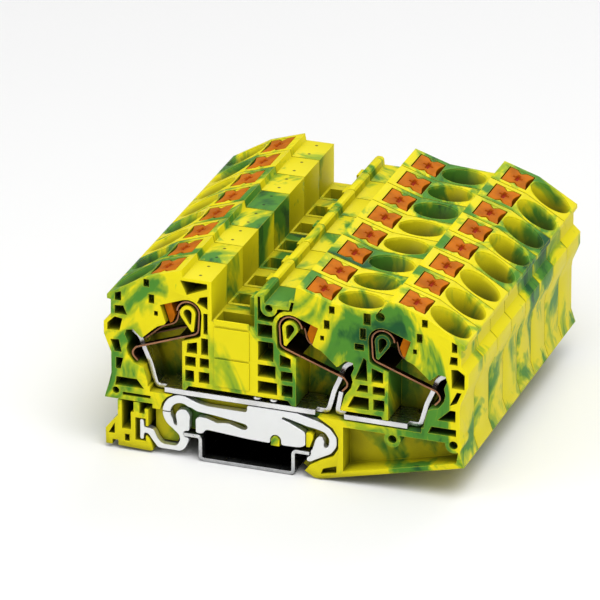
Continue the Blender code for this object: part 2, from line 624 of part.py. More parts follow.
def bar_leg_path():
    """The narrow end of a current bar: out of the main part, up, and over to the hook that presses the wire."""
    level = BAR_THICKNESS / 2 - BANK_RISE
    return [(5.8, level), (9.5, level), (10.2, -21.6), (11.4, -17.0), (13.2, -12.9), (13.9, -10.6),
            (14.7, -9.3), (16.4, -8.2)]


def make_bar(name, x0, x1, ends):
    """A current bar: a wide flat main part with a narrower bent strip at each end."""
    y = block_front(0) + SPRING_INSET
    bar = plate(name, [rectangle(x0, x1, DECK, DECK + BAR_THICKNESS)], y, y + SPRING_WIDTH, PARTS)
    narrow = block_front(0) + LEG_INSET
    for i, (bank, path) in enumerate(ends):
        outline = bank.place(strip(path, BAR_LEG_THICKNESS))
        join(bar, plate(f"{name}_end_{i}", [outline], narrow, narrow + LEG_WIDTH, CUTTERS))
    return finish(bar, TINNED_COPPER)


def make_bars():
    level = BAR_THICKNESS / 2 - BANK_RISE
    short_foot = [(15.8, level), (12.3, level), (12.5, -21.6), (13.3, -17.2)]
    both = [(LEFT_BANK, bar_leg_path()), (MIDDLE_BANK, bar_leg_path())]
    make_bar("current_bar_long", LEFT_BANK_X - 6.8, MIDDLE_BANK_X + 6.8, both)
    one_side = [(RIGHT_BANK, bar_leg_path()), (MIDDLE_BANK, short_foot)]
    make_bar("current_bar_short", MIDDLE_BANK_X + 14.8, RIGHT_BANK_X + 6.8, one_side)


def make_rivet(number, x):
    """A round rivet head on top of the long bar."""
    y = block_front(0) + SPRING_INSET + 1.6
    rivet = cone(f"bar_rivet_{number}", 1.3, 1.0, 1.0, 1.0, PARTS, segments=16)
    rivet.matrix_world = Matrix.Translation((x * MM, y * MM, (DECK + BAR_THICKNESS + CLEARANCE) * MM))
    return finish(rivet, TINNED_COPPER)


def earth_foot_outline():
    """The stamped foot: body, upper arm to the sprung loop, lower arm on the rail, and the right hook."""
    left, right = -RAIL_HALF, RAIL_HALF
    top = DECK - CLEARANCE
    seat = RAIL_HEIGHT + CLEARANCE
    loop = arc(LOOP_CENTRE, LOOP_OUTER, 180 - CUT_ANGLE_OUTER, 80)
    upper = [(left + 3.4, 16.6), (left + 6.5, 16.05), (-0.4, 16.0), (0.0, 16.4), (0.0, top), (13.6, top)]
    hook = [(3.0, 16.3), (5.6, 15.0), (7.5, 12.6), (7.5, 10.0), (6.0, 7.7), (3.0, 6.1), (0.0, 4.4), (-0.9, 4.8)]
    under_lip = [(-0.7, 5.8), (0.3, 6.2), (0.3, seat), (0.7, seat + 0.2)]
    finger = [(1.6, 11.2), (2.5, 12.3), (3.6, 12.1), (4.1, 10.9), (3.8, 9.6), (4.5, 9.0), (5.3, 9.8)]
    inner = [(5.5, 11.8), (4.3, 13.6), (2.2, 14.2), (-0.6, 14.6)]
    slot = [(12.0, 15.9), (10.0, 16.3), (9.7, 15.6), (12.0, 14.8), (right - 1.2, 12.7), (right - 1.2, 8.9)]
    notch = [(14.6, seat + 0.3), (9.5, seat + 0.2), (9.5, 9.7), (8.7, 10.7), (7.3, 10.7), (6.5, 9.7)]
    belly = [(6.5, seat + 0.3), (0.0, seat + 0.5), (left + 6.0, 9.2), (left + 5.0, seat), (left + 3.1, seat)]
    wave = [(left + 3.1, 11.8), (left + 3.8, 12.5), (left + 5.5, 12.6), (-10.5, 12.2), (-8.5, 11.5)]
    mouth = [(-5.5, 12.0), (-1.2, 10.7), (-0.2, 10.9), (0.2, 11.6), (-0.2, 12.4), (-3.0, 12.9), (-9.0, 13.7)]
    lip = [(left + 3.4, 14.1), (left + 2.0, 14.9)]
    loop_inner = arc(LOOP_CENTRE, LOOP_INNER, 50, 180 - CUT_ANGLE_INNER)
    placed = [(right + x, z) for x, z in hook + under_lip + finger + inner]
    return loop + upper + placed + slot + notch + belly + wave + mouth + lip + loop_inner


def make_earth_foot():
    y = block_front(0) + SPRING_INSET
    foot = plate("earth_foot", [earth_foot_outline()], y, y + FOOT_SHEET, PARTS)
    return finish(foot, TINNED_COPPER)


def latch_hook_outline():
    """The moving end of the sprung loop: half the ring, the finger, the hook under the lip and the T-head."""
    left = -RAIL_HALF
    ring = arc(LOOP_CENTRE, LOOP_OUTER, 180 + CUT_ANGLE_OUTER, 240)
    finger_centre = (left - 0.5, LOOP_CENTRE[1] - 0.8)
    finger = arc(finger_centre, 2.0, -20, 200)
    inner = arc(LOOP_CENTRE, LOOP_INNER, 215, 180 + CUT_ANGLE_INNER)
    low = [
        (-1.5, 6.4), (-1.3, 5.0), (-2.0, 3.6), (-2.7, 3.1), (-6.4, 3.1), (-7.7, 4.6), (-8.6, 6.6), (-10.0, 7.2),
        (-11.5, 7.2), (-11.5, 9.4), (-12.6, 9.4), (-12.6, 3.6), (-11.6, 3.6), (-11.5, 5.6), (-10.3, 5.5),
        (-9.4, 4.2), (-7.7, 2.0), (-6.8, 1.8), (-1.2, 1.8), (0.1, 2.8), (1.1, 5.2), (1.1, 6.0), (-0.3, 6.2),
        (-0.3, 7.8), (1.3, 8.0),
    ]
    neck = [(-2.1, 9.5), (-2.5, 8.9), (-3.1, 9.6)]
    shift = [(left + x, z) for x, z in low]
    return ring + shift + finger + [(left + x, z) for x, z in neck] + inner


def make_latch_hook():
    y = block_front(0) + SPRING_INSET
    hook = plate("latch_hook", [latch_hook_outline()], y, y + FOOT_SHEET, PARTS)
    return finish(hook, TINNED_COPPER)


def main():
    make_rail()
    for index in range(BLOCK_COUNT):
        housing = make_housing(index)
        if index == 0:
            open_front_housing(housing)
        finish(housing, GREEN_YELLOW)
        make_release_foot(index)
        for bank in BANKS:
            make_button(bank, index)
    for bank in BANKS:
        make_spring(bank)
        make_clamp_leg(bank)
    make_bars()
    make_rivet(1, 2.5)
    make_rivet(2, 7.1)
    make_earth_foot()
    make_latch_hook()


main()
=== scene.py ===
"""The visible pieces, finishes and studio of a row of green-yellow earth terminal blocks on a 35 mm rail.

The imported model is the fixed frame: X along a block, Y along the rail, Z up, in metres. Outlines and paths
are in millimetres, as in the drawing of a block, and MM turns them into metres where a mesh is made.
"""

import math

import bmesh
import bpy
import numpy as np
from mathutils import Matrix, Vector
from mathutils.geometry import tessellate_polygon


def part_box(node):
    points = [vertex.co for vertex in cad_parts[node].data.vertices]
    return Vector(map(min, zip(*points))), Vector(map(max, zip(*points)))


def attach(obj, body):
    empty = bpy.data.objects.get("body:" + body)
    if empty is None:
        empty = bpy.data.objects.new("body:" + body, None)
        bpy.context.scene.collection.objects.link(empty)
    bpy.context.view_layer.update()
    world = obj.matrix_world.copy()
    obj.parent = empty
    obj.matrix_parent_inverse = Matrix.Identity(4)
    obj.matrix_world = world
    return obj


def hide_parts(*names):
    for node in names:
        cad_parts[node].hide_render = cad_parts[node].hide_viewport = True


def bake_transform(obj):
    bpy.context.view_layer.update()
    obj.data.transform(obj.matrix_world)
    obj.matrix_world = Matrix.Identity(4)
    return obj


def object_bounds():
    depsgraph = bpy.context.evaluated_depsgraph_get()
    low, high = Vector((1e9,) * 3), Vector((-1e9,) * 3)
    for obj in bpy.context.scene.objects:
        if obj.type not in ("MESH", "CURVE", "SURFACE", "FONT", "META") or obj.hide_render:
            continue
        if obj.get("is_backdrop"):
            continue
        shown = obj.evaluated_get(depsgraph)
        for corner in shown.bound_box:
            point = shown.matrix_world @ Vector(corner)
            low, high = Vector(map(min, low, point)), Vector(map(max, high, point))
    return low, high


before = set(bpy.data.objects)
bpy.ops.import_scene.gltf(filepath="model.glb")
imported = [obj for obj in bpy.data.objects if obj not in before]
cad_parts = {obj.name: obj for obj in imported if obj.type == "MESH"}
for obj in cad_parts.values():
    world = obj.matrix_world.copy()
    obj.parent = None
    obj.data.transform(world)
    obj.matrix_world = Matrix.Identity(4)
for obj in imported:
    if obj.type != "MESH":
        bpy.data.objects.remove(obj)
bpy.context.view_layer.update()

bl_info = {
    "name": "Earth terminal row",
    "version": (1, 0, 0),
    "blender": (4, 5, 0),
    "location": "View3D > Sidebar > Terminal row",
    "description": "Builds the visible pieces of a row of earth terminal blocks on a rail",
    "category": "Object",
}

MM = 0.001
ROW = "row"
BLOCKS = 8
BLOCK_FRONTS = [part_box(f"housing_{i}")[0].y / MM for i in range(1, BLOCKS + 1)]
BODY_WIDTH = (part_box("housing_1")[1].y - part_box("housing_1")[0].y) / MM
RAIL_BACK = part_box("din_rail")[1].y / MM
RAIL_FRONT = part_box("din_rail")[0].y / MM

# Making a piece: points nearer than WELD are one, edges shorter than SLIVER go, and faces that meet at more
# than SHARP are shaded apart. A copied solid is welded, loses the edges within FLAT and is bevelled.
WELD = 0.002
SOLID_WELD = 0.004
SLIVER = 0.001
SHARP = math.radians(35)
FLAT = math.radians(0.6)
BEVELLED = math.radians(38)

# Levels and banks of a block, in its X-Z plane
DECK = 18.3
BANK_Z = 42.3
BANKS = {"left": (-16.3, -1), "middle": (12.2, 1), "right": (37.7, 1)}
FACE_SLOPE = math.radians(18.0)
RIDGE = (1.7, 12.1)
FACE_FOOT = (11.6, RIDGE[1] - (11.6 - RIDGE[0]) * math.tan(FACE_SLOPE))
OUTER_FACE = (RIDGE, FACE_FOOT, (22.5, 2.3), (22.9, 1.1))
MIDDLE_FACE = (RIDGE, FACE_FOOT, (23.5, 8.1), (24.4, 8.1), (27.2, 12.1))
WIRE_POINT = (11.2, -8.0)
MOUTHS = {"left": (17.0, 5.6), "middle": (17.2, 9.0), "right": (17.0, 5.6)}

# Wire funnel
FUNNEL_LENGTH = 12.6
FUNNEL_WIDTH = 10.4
FUNNEL_DEPTH = 7.0
THROAT_LENGTH = 6.8
BORE_DEPTH = 13.6
LINING_GAP = 0.14
LINING_WALL = 0.3
RIM_SEARCH = (-6.0, 5.0)
RIM_STEPS = 30
LIP = [(-0.14, -0.3), (-0.13, -0.12), (-0.06, 0.0), (0.05, 0.06), (0.16, 0.06), (0.24, 0.0), (0.26, -0.3)]

# Button: its head, its stem and the recess in its top
BUTTON_PLACE = (7.4, RIDGE[1] - (7.4 - RIDGE[0]) * math.tan(FACE_SLOPE))
BUTTON_HALF_LENGTH = 3.525
BUTTON_HALF_WIDTH = 4.2
HEAD_DEPTH = 4.5
NOTCH_WIDTH = 1.35
NOTCH_DEPTH = 1.5
STEM = [(0.55, -3.9), (0.55, -12.4), (1.95, -14.2), (2.75, -14.4), (2.75, -4.0)]
BUTTON_EDGE = 0.16
STEM_EDGE = 0.15
HOLLOW_HALF = 3.3
HOLLOW_DEPTH = 0.75
CROSS_LONG = (0.42, 1.8)
CROSS_SHORT = (1.35, 0.36)
PIT_PLACE = 0.1
PIT_RADIUS = 0.8
RECESS_SLOPE = 0.24
RECESS_DEPTH = 0.75
CROWN = 0.05

# Teeth of the housing in the button's notches, from the button's top down
TOOTH_ROOT = 0.3
TOOTH_SHORT = 0.45
TOOTH_LEVELS = (-2.2, -0.12)
TOOTH_EDGE = 0.1

# Raised panels on the front web
PANEL_SIDES = (-8.9, 0.9)
PANEL_LEVELS = ((22.6, 30.6), (31.1, 39.6), (40.1, 41.8))
PANEL_STANDS = 0.3
PANEL_SET = 0.2
PANEL_EDGE = 0.15

# Marks of the ejector pins on the left tower
BLOCK_PITCH = BLOCK_FRONTS[1] - BLOCK_FRONTS[0]
PIN_X = -13.7
PIN_LEVEL = 51.0

# Springs and bars, with their paths in a bank's own u and v
LOOP_RADIUS = 3.1
STRIP = 0.5
SPRING_LEG = ((14.8, -12.1), (-1.9, -6.0))
WINDOW_ENDS = (0.05, 0.72)
HOOK_PATH = [(14.3, -15.9), (15.6, -14.5), (15.75, -13.4), SPRING_LEG[0]]
ARM_PATH = [(3.08, -0.4), (3.5, -1.8), (3.75, -3.3), (4.6, -4.55), (8.0, -5.9), (9.3, -7.0), (12.7, -10.1)]
LEG_PATH = [(5.8, -23.25), (9.6, -23.25), (10.2, -21.6), (11.4, -17.0), (13.2, -12.9), (13.9, -10.6),
            (14.7, -9.3), (16.4, -8.2)]
FOOT_PATH = [(-9.7, -23.25), (-13.2, -23.25), (-13.0, -21.6), (-12.2, -17.2)]
BAR_HEIGHT = 1.5
BAR_LEG = 1.3
LONG_BAR = (-23.1, 19.0)
SHORT_BAR = (27.0, 44.5)
SPRING_SPAN = (0.4, 10.4)
LEG_SPAN = (2.5, 8.3)
WINDOW_RAIL = 1.8

# Earth foot and rail
FOOT_SPAN = (0.4, 2.4)
LOOP_CENTRE = (-18.5, 12.8)
LOOP_OUTER = 5.2
LOOP_INNER = 3.0
RAIL_HALF = 17.5
CHANNEL_HALF = 13.0
LIP_LEVEL = 7.0
RAIL_THICKNESS = 1.0
RIVET_SIDE = 0.35

# Tones of painted shade where the light doesn't reach, and of painted edge highlights, as linear colours;
# the darkest plastic tone also colours the ejector pin marks
SHADED = (0.02, 0.035, 0.004, 1)
FUNNEL_SHADED = (0.045, 0.055, 0.006, 1)
PIN_MARK_AND_SHADE_PLASTIC = (0.012, 0.014, 0.003, 1)
UNLIT_METAL = (0.012, 0.012, 0.010, 1)
EDGE_HIGHLIGHT_YELLOW = (0.92, 0.80, 0.01, 1)
EDGE_HIGHLIGHT_ORANGE = (0.80, 0.26, 0.01, 1)

# Marbling: how far the noise is pushed about, in metres, and (tone, from, to) of the levels it is cut at
PUSH = 0.026
MARBLE_LEVELS = (("Lime", 0.495, 0.55), ("Green", 0.54, 0.595), ("Deep", 0.62, 0.7))

# Studio: (name, place in metres, width, share of the key light's power)
LIGHTS = (
    ("key", (0.34, -0.36, 1.0), 0.8, 1.0),
    ("fill", (-0.8, -0.8, 0.7), 0.9, 0.5),
    ("back", (0.1, 1.1, 0.9), 0.8, 0.4),
)
FLOOR_HALF = 4.0
FLOOR_BELOW = 0.0001
SENSOR_WIDTH = 36.0
PICTURE_CENTRE = (0.0891, 0.280)


# ---------------------------------------------------------------- settings a user would change


def size(name, text, value):
    return bpy.props.FloatProperty(name=name, description=text, default=value, min=0.0, unit="LENGTH")


def colour(name, text, value):
    return bpy.props.FloatVectorProperty(
        name=name, description=text, default=value, subtype="COLOR", size=3, min=0.0, max=1.0
    )


def turn(name, text, degrees):
    radians = math.radians(degrees)
    return bpy.props.FloatProperty(name=name, description=text, default=radians, subtype="ANGLE")


def number(name, text, value):
    return bpy.props.FloatProperty(name=name, description=text, default=value, min=0.0)


class TERMINALROW_PG_plastic(bpy.types.PropertyGroup):
    """Moulded housings, feet and buttons."""

    edge: size("Edge radius", "Rounding of the moulded edges", 0.00014)
    yellow: colour("Yellow", "Base colour of the marbled plastic", (0.79, 0.69, 0.006))
    lime: colour("Lime", "Colour between the yellow and the green", (0.36, 0.47, 0.014))
    green: colour("Green", "Colour of the marbled streaks", (0.075, 0.25, 0.024))
    deep: colour("Deep green", "Darkest heart of the streaks", (0.012, 0.085, 0.022))
    orange: colour("Orange", "Colour of the push buttons", (0.60, 0.165, 0.004))
    # Painted shade: the darker red painted down in the buttons' recess and round the middle of their tops.
    shaded_pit: colour("Pit", "Colour down in the buttons' recess", (0.30, 0.022, 0.008))
    streak: number("Streak size", "Cycles of the marbling per metre", 46.0)


class TERMINALROW_PG_metal(bpy.types.PropertyGroup):
    """Springs, current bars, earth foot and rail."""

    edge: size("Edge radius", "Rounding of the stamped edges", 0.00012)
    tin: colour("Tinned copper", "Colour of the bars and the earth foot", (0.80, 0.80, 0.81))
    zinc: colour("Zinced steel", "Colour of the rail", (0.72, 0.73, 0.74))
    spring: colour("Spring steel", "Colour of the tempered springs", (0.36, 0.16, 0.075))


class TERMINALROW_PG_stage(bpy.types.PropertyGroup):
    """Floor, light and camera."""

    azimuth: turn("Azimuth", "Camera's turn to the right of the row's axis", 19.5)
    elevation: turn("Elevation", "Camera's height above the horizon", 24.5)
    field: size("Field", "Width that the picture takes in at the front of the row", 0.1583)
    lens: number("Focal length", "Focal length of the camera in millimetres", 400.0)
    floor: colour("Floor", "Colour of the floor", (0.91, 0.91, 0.91))
    sky: number("Sky", "Strength of the even light from all round", 0.35)
    key: number("Key light", "Power of the large soft light", 9.5)


# ---------------------------------------------------------------- surfaces


def grid_faces(rows, columns, wrap_rows=False, wrap_columns=True):
    """Quads between neighbouring rows and columns; a wrapped side meets its first line again."""
    r = np.arange(rows if wrap_rows else rows - 1)
    c = np.arange(columns if wrap_columns else columns - 1)
    r, c = np.meshgrid(r, c, indexing="ij")
    r1, c1 = (r + 1) % rows, (c + 1) % columns
    corners = [r * columns + c, r1 * columns + c, r1 * columns + c1, r * columns + c1]
    return np.stack(corners, axis=-1).reshape(-1, 4).tolist()


def linked(name, data):
    """A new object of this mesh, light or camera, in the scene."""
    thing = bpy.data.objects.new(name, data)
    bpy.context.scene.collection.objects.link(thing)
    return thing


def piece_from(name, shells, shaded_pit=None):
    """One object from (points in mm, faces) shells, with its doubles merged, so that seams and poles close,
    and its faces outwards. The last argument is a value for each point, a painted shade that the finishes
    read."""
    points, faces, first = [], [], 0
    for shell_points, shell_faces in shells:
        points.append(shell_points)
        faces += [[i + first for i in face] for face in shell_faces]
        first += len(shell_points)
    mesh = bpy.data.meshes.new(name)
    mesh.from_pydata((np.concatenate(points) * MM).tolist(), [], faces)
    if shaded_pit is not None:
        mesh.attributes.new("shaded_pit", "FLOAT", "POINT").data.foreach_set("value", shaded_pit.astype(np.float32))
    shell = bmesh.new()
    shell.from_mesh(mesh)
    bmesh.ops.remove_doubles(shell, verts=shell.verts, dist=WELD * MM)
    bmesh.ops.dissolve_degenerate(shell, edges=shell.edges, dist=SLIVER * MM)
    bmesh.ops.recalc_face_normals(shell, faces=shell.faces)
    shell.to_mesh(mesh)
    shell.free()
    mesh.shade_smooth()
    mesh.set_sharp_from_angle(angle=SHARP)
    piece = linked(name, mesh)
    even = piece.modifiers.new("even normals", "WEIGHTED_NORMAL")
    even.weight, even.keep_sharp = 100, True
    return piece


def rounded_path(points, reach, steps=5):
    """Each inner corner c becomes a parabola, (1-t)^2 a + 2t(1-t) c + t^2 b, from a to b beside it."""
    p = np.asarray(points, float)
    corner, before, after = p[1:-1], p[:-2] - p[1:-1], p[2:] - p[1:-1]
    back, on = np.linalg.norm(before, axis=1), np.linalg.norm(after, axis=1)
    cut = np.minimum(reach, np.minimum(back, on) * 0.48)[:, None]
    a, b = corner + before / back[:, None] * cut, corner + after / on[:, None] * cut
    t = np.linspace(0, 1, steps)[None, :, None]
    bend = (1 - t) ** 2 * a[:, None] + 2 * t * (1 - t) * corner[:, None] + t ** 2 * b[:, None]
    return np.concatenate([p[:1], bend.reshape(-1, 2), p[-1:]])


def rounded_outline(points, reach, steps=4):
    """A closed outline with its corners rounded as rounded_path does, wound anticlockwise."""
    p = np.asarray(points, float)
    wrapped = np.concatenate([p[-1:], p, p[:1]])
    p = rounded_path(wrapped, reach, steps)[1:-1]
    x, z = p.T
    area = np.sum(x * np.roll(z, -1) - np.roll(x, -1) * z)
    return p if area > 0 else p[::-1]


def arc(centre, radius, start, end, count=24):
    """Points at centre + radius (cos a, sin a), with a from start to end in degrees."""
    a = np.radians(np.linspace(start, end, count))
    return np.stack([centre[0] + radius * np.cos(a), centre[1] + radius * np.sin(a)], axis=1)


def drawn_in(loop, inset):
    """An outline moved towards its own left by inset, with mitred corners."""
    ahead = np.roll(loop, -1, axis=0) - loop
    ahead /= np.maximum(np.linalg.norm(ahead, axis=1), 1e-9)[:, None]
    behind = np.roll(ahead, 1, axis=0)
    left = np.stack([-ahead[:, 1], ahead[:, 0]], axis=1)
    other = np.stack([-behind[:, 1], behind[:, 0]], axis=1)
    share = np.maximum(1 + np.sum(left * other, axis=1), 0.5)
    return loop + inset * (left + other) / share[:, None]


def plate(loop, y0, y1, edge, bend=4):
    """A flat piece: the outline is carried from y0 to y1, and near each face it is drawn in by
    edge (1 - sin a) at height edge (1 - cos a), a quarter circle. The faces are filled."""
    a = np.linspace(0, math.pi / 2, bend)
    inset, rise = edge * (1 - np.sin(a)), edge * (1 - np.cos(a))
    inset = np.concatenate([inset, inset[::-1]])
    level = np.concatenate([y0 + rise, (y1 - rise)[::-1]])
    rows = [drawn_in(loop, i) for i in inset]
    count = len(loop)
    points = np.stack([np.insert(row, 1, y, axis=1) for row, y in zip(rows, level)])
    faces = grid_faces(len(rows), count)
    cap = tessellate_polygon([[Vector((x, z, 0.0)) for x, z in rows[0]]])
    top = (len(rows) - 1) * count
    faces += [list(face) for face in cap] + [[i + top for i in face][::-1] for face in cap]
    return points.reshape(-1, 3), faces


def ribbon(path, y0, y1, thickness, edge):
    """A strip: a rectangle with rounded corners is carried along the path, upright in Y and thick along the
    path's normal. y0 and y1 may change along the path. Both ends close on their middle point."""
    path = np.asarray(path, float)
    keep = np.r_[True, np.linalg.norm(np.diff(path, axis=0), axis=1) > 1e-4]
    path = path[keep]
    y0 = np.broadcast_to(y0, len(keep))[keep]
    y1 = np.broadcast_to(y1, len(keep))[keep]
    along = np.gradient(path, axis=0)
    along /= np.linalg.norm(along, axis=1)[:, None]
    normal = np.stack([-along[:, 1], along[:, 0]], axis=1)
    a = np.radians([0, 30, 60, 90])
    corner = np.stack([np.cos(a), np.sin(a)], 1) * edge
    quarter = [corner, corner[:, ::-1] * (-1, 1), -corner, corner[:, ::-1] * (1, -1)]
    side = [(1, 1), (-1, 1), (-1, -1), (1, -1)]
    half = thickness / 2 - edge
    offset = np.concatenate([q[:, 1] + s[1] * half for q, s in zip(quarter, side)])
    across = np.concatenate([q[:, 0] - s[0] * edge for q, s in zip(quarter, side)])
    high = np.concatenate([np.full(4, s[0] > 0) for s in side])
    y = np.where(high, y1[:, None], y0[:, None]) + across
    flat = path[:, None, :] + normal[:, None, :] * offset[None, :, None]
    rows = np.stack([flat[..., 0], y, flat[..., 1]], axis=-1)
    ends = [np.broadcast_to([p[0], (l + h) / 2, p[1]], (1, rows.shape[1], 3))
            for p, l, h in ((path[0], y0[0], y1[0]), (path[-1], y0[-1], y1[-1]))]
    rows = np.concatenate([ends[0], rows, ends[1]])
    return rows.reshape(-1, 3), grid_faces(len(rows), rows.shape[1])


def placed(bank, points):
    """Points of a bank, u towards its funnel and v up, in the block's X-Z plane."""
    x, sign = BANKS[bank]
    p = np.asarray(points, float)
    return np.stack([x + sign * p[..., 0], BANK_Z + p[..., 1]], axis=-1)


def seated(bank, y, local):
    """Points (s down the slope, w along the rail, n out of the face) from a button's top, in the row."""
    s, w, n = np.moveaxis(np.asarray(local, float), -1, 0)
    u = BUTTON_PLACE[0] + s * math.cos(FACE_SLOPE) + n * math.sin(FACE_SLOPE)
    v = BUTTON_PLACE[1] - s * math.sin(FACE_SLOPE) + n * math.cos(FACE_SLOPE)
    x, z = np.moveaxis(placed(bank, np.stack([u, v], -1)), -1, 0)
    return np.stack([x, y + BODY_WIDTH / 2 + w, z], axis=-1)


# ---------------------------------------------------------------- pieces


def moulded_copy(node, edge):
    """The node's own solid with its triangles merged into flat faces and its edges rounded."""
    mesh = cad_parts[node].data.copy()
    mesh.materials.clear()
    shell = bmesh.new()
    shell.from_mesh(mesh)
    bmesh.ops.remove_doubles(shell, verts=shell.verts, dist=SOLID_WELD * MM)
    bmesh.ops.dissolve_limit(shell, angle_limit=FLAT, verts=shell.verts, edges=shell.edges)
    bmesh.ops.recalc_face_normals(shell, faces=shell.faces)
    shell.to_mesh(mesh)
    shell.free()
    mesh.shade_smooth()
    mesh.name = node + "_moulded"
    piece = linked(mesh.name, mesh)
    bevel = piece.modifiers.new("rounded edges", "BEVEL")
    bevel.width = edge
    bevel.segments = 2
    bevel.limit_method = "ANGLE"
    bevel.angle_limit = BEVELLED
    bevel.harden_normals = True
    return piece


def funnel_lining(bank, y, open_end):
    """Inside of an oval wire funnel. For each angle q round its axis a ray of the cone,
    centre + t axis + (W/2 + t slope)(stretch cos q across + sin q along Y), runs from the rim, where it
    meets the face of the block, down to the throat. A low rounded lip goes round the rim. The third result
    is a painted shade for each point, how dark it is: its depth to the power 0.6 times 0.45 + 0.8 cos q,
    both kept within 0 and 1, so the funnel is painted darker deeper down and on one side."""
    mouth, point = np.array(MOUTHS[bank]), np.array(WIRE_POINT)
    face = np.array(MIDDLE_FACE if bank == "middle" else OUTER_FACE)
    axis = (mouth - point) / np.linalg.norm(mouth - point)
    across = np.array([axis[1], -axis[0]])
    stretch = FUNNEL_LENGTH / FUNNEL_WIDTH
    slope = (FUNNEL_WIDTH - THROAT_LENGTH / stretch) / 2 / FUNNEL_DEPTH
    q = np.linspace(0, 2 * math.pi, 72, endpoint=False)

    def ring(t, extra):
        """A ring of the cone at height t, extra outside it."""
        r = np.maximum(FUNNEL_WIDTH / 2 + slope * t, THROAT_LENGTH / 2 / stretch)
        a = (r * stretch + extra) * np.cos(q)
        flat = mouth + axis * np.asarray(t)[..., None] + across * a[..., None]
        return np.stack([flat[..., 0], (r + extra) * np.sin(q), flat[..., 1]], axis=-1)

    low, high = (np.full(len(q), level) for level in RIM_SEARCH)
    for _ in range(RIM_STEPS):
        middle = (low + high) / 2
        at = ring(middle, 0.0)
        above = at[:, 2] > np.interp(at[:, 0], face[:, 0], face[:, 1])
        high, low = np.where(above, middle, high), np.where(above, low, middle)
    rim = ring(low, 0.0)
    tangent = np.roll(rim, -1, axis=0) - np.roll(rim, 1, axis=0)
    reach = 0.2
    before, after = (np.interp(rim[:, 0] + side * reach, face[:, 0], face[:, 1]) for side in (-1, 1))
    up = np.stack([before - after, np.zeros(len(q)), np.full(len(q), 2 * reach)], axis=1)
    up /= np.linalg.norm(up, axis=1)[:, None]
    out = np.cross(tangent, up)
    out /= np.linalg.norm(out, axis=1)[:, None]
    down = np.linspace(0.06, 1, 10)
    inner = [ring(low + (-FUNNEL_DEPTH - low) * d, -LINING_GAP) for d in down[::-1]]
    rolled = [rim + out * o + up * h for o, h in LIP]
    outer = [ring(np.full(len(q), -FUNNEL_DEPTH), LINING_WALL)]
    depth = list(down[::-1]) + [0.0] * (len(rolled) + 1)
    if open_end:
        rows = inner + rolled + outer
    else:
        floor = np.full(len(q), -BORE_DEPTH)
        inner = [ring(floor, -LINING_GAP)] + inner
        outer = outer + [ring(floor - LINING_WALL, LINING_WALL)]
        pole = [np.broadcast_to(rows[0].mean(axis=0), rows[0].shape) for rows in (inner, outer[::-1])]
        rows = [pole[0]] + inner + rolled + outer + [pole[1]]
        depth = [1.0, 1.0] + depth + [0.0, 0.0]
    rows = np.stack(rows)
    flat = placed(bank, rows[..., [0, 2]])
    points = np.stack([flat[..., 0], y + BODY_WIDTH / 2 + rows[..., 1], flat[..., 1]], axis=-1)
    # Painted shade: darker down the funnel and towards the side where cos q is 1.
    dark = np.clip(np.array(depth) * 1.8, 0, 1)[:, None] ** 0.6 * np.clip(0.45 + 0.8 * np.cos(q), 0, 1)
    return points.reshape(-1, 3), grid_faces(len(rows), len(q), wrap_rows=open_end), dark.ravel()


def panel_shells(y):
    """Raised flat panels on the front web, one above the other, each a plate with rounded edges."""
    left, right = PANEL_SIDES
    shells = []
    for low, high in PANEL_LEVELS:
        outline = rounded_outline([(left, low), (right, low), (right, high), (left, high)], 0.3)
        shells.append(plate(outline, y - PANEL_STANDS, y + PANEL_SET, PANEL_EDGE))
    return shells


def button_outline():
    """The head seen from above: a V notch in each long side, and the side by the funnel hollowed out."""
    h, w = BUTTON_HALF_LENGTH, BUTTON_HALF_WIDTH
    hollow = np.linspace(-HOLLOW_HALF, HOLLOW_HALF, 9)
    funnel_side = [(h - HOLLOW_DEPTH * (1 - (y / (HOLLOW_HALF + 0.1)) ** 2), y) for y in hollow]
    right = [(-h, -w), (-NOTCH_WIDTH, -w), (0.0, -w + NOTCH_DEPTH), (NOTCH_WIDTH, -w), (h, -w)]
    left = [(h, w), (NOTCH_WIDTH, w), (0.0, w - NOTCH_DEPTH), (-NOTCH_WIDTH, w), (-h, w)]
    return rounded_outline(right + funnel_side + left, 0.22, 3)


def notch_teeth(bank, y):
    """Teeth of the housing that guide a button: triangular prisms, a little smaller than its notches."""
    shells = []
    for side in (-1, 1):
        root = side * (BUTTON_HALF_WIDTH + TOOTH_ROOT)
        tip = side * (BUTTON_HALF_WIDTH - NOTCH_DEPTH + TOOTH_SHORT)
        outline = rounded_outline([(-NOTCH_WIDTH, root), (NOTCH_WIDTH, root), (0.0, tip)], 0.12)
        points, faces = plate(outline, *TOOTH_LEVELS, TOOTH_EDGE)
        shells.append((seated(bank, y, points[:, [0, 2, 1]]), faces))
    return shells


def resampled(loop, count):
    """The same outline with its points evenly spaced."""
    closed = np.concatenate([loop, loop[:1]])
    length = np.concatenate([[0], np.cumsum(np.linalg.norm(np.diff(closed, axis=0), axis=1))])
    at = np.linspace(0, length[-1], count, endpoint=False)
    return np.stack([np.interp(at, length, closed[:, i]) for i in (0, 1)], axis=1)


def recess(s, w):
    """How deep the top is at (s, w), from 0 to 1: two crossed bars and a round pit, where each goes from 1
    inside to 0 outside over RECESS_SLOPE."""
    one, two = (np.maximum(np.abs(s) - a, np.abs(w) - b) for a, b in (CROSS_LONG, CROSS_SHORT))
    shaded_pit = np.hypot(s - PIT_PLACE, w - PIT_PLACE) - PIT_RADIUS
    return np.clip(0.5 - np.minimum(np.minimum(one, two), shaded_pit) / RECESS_SLOPE, 0, 1)


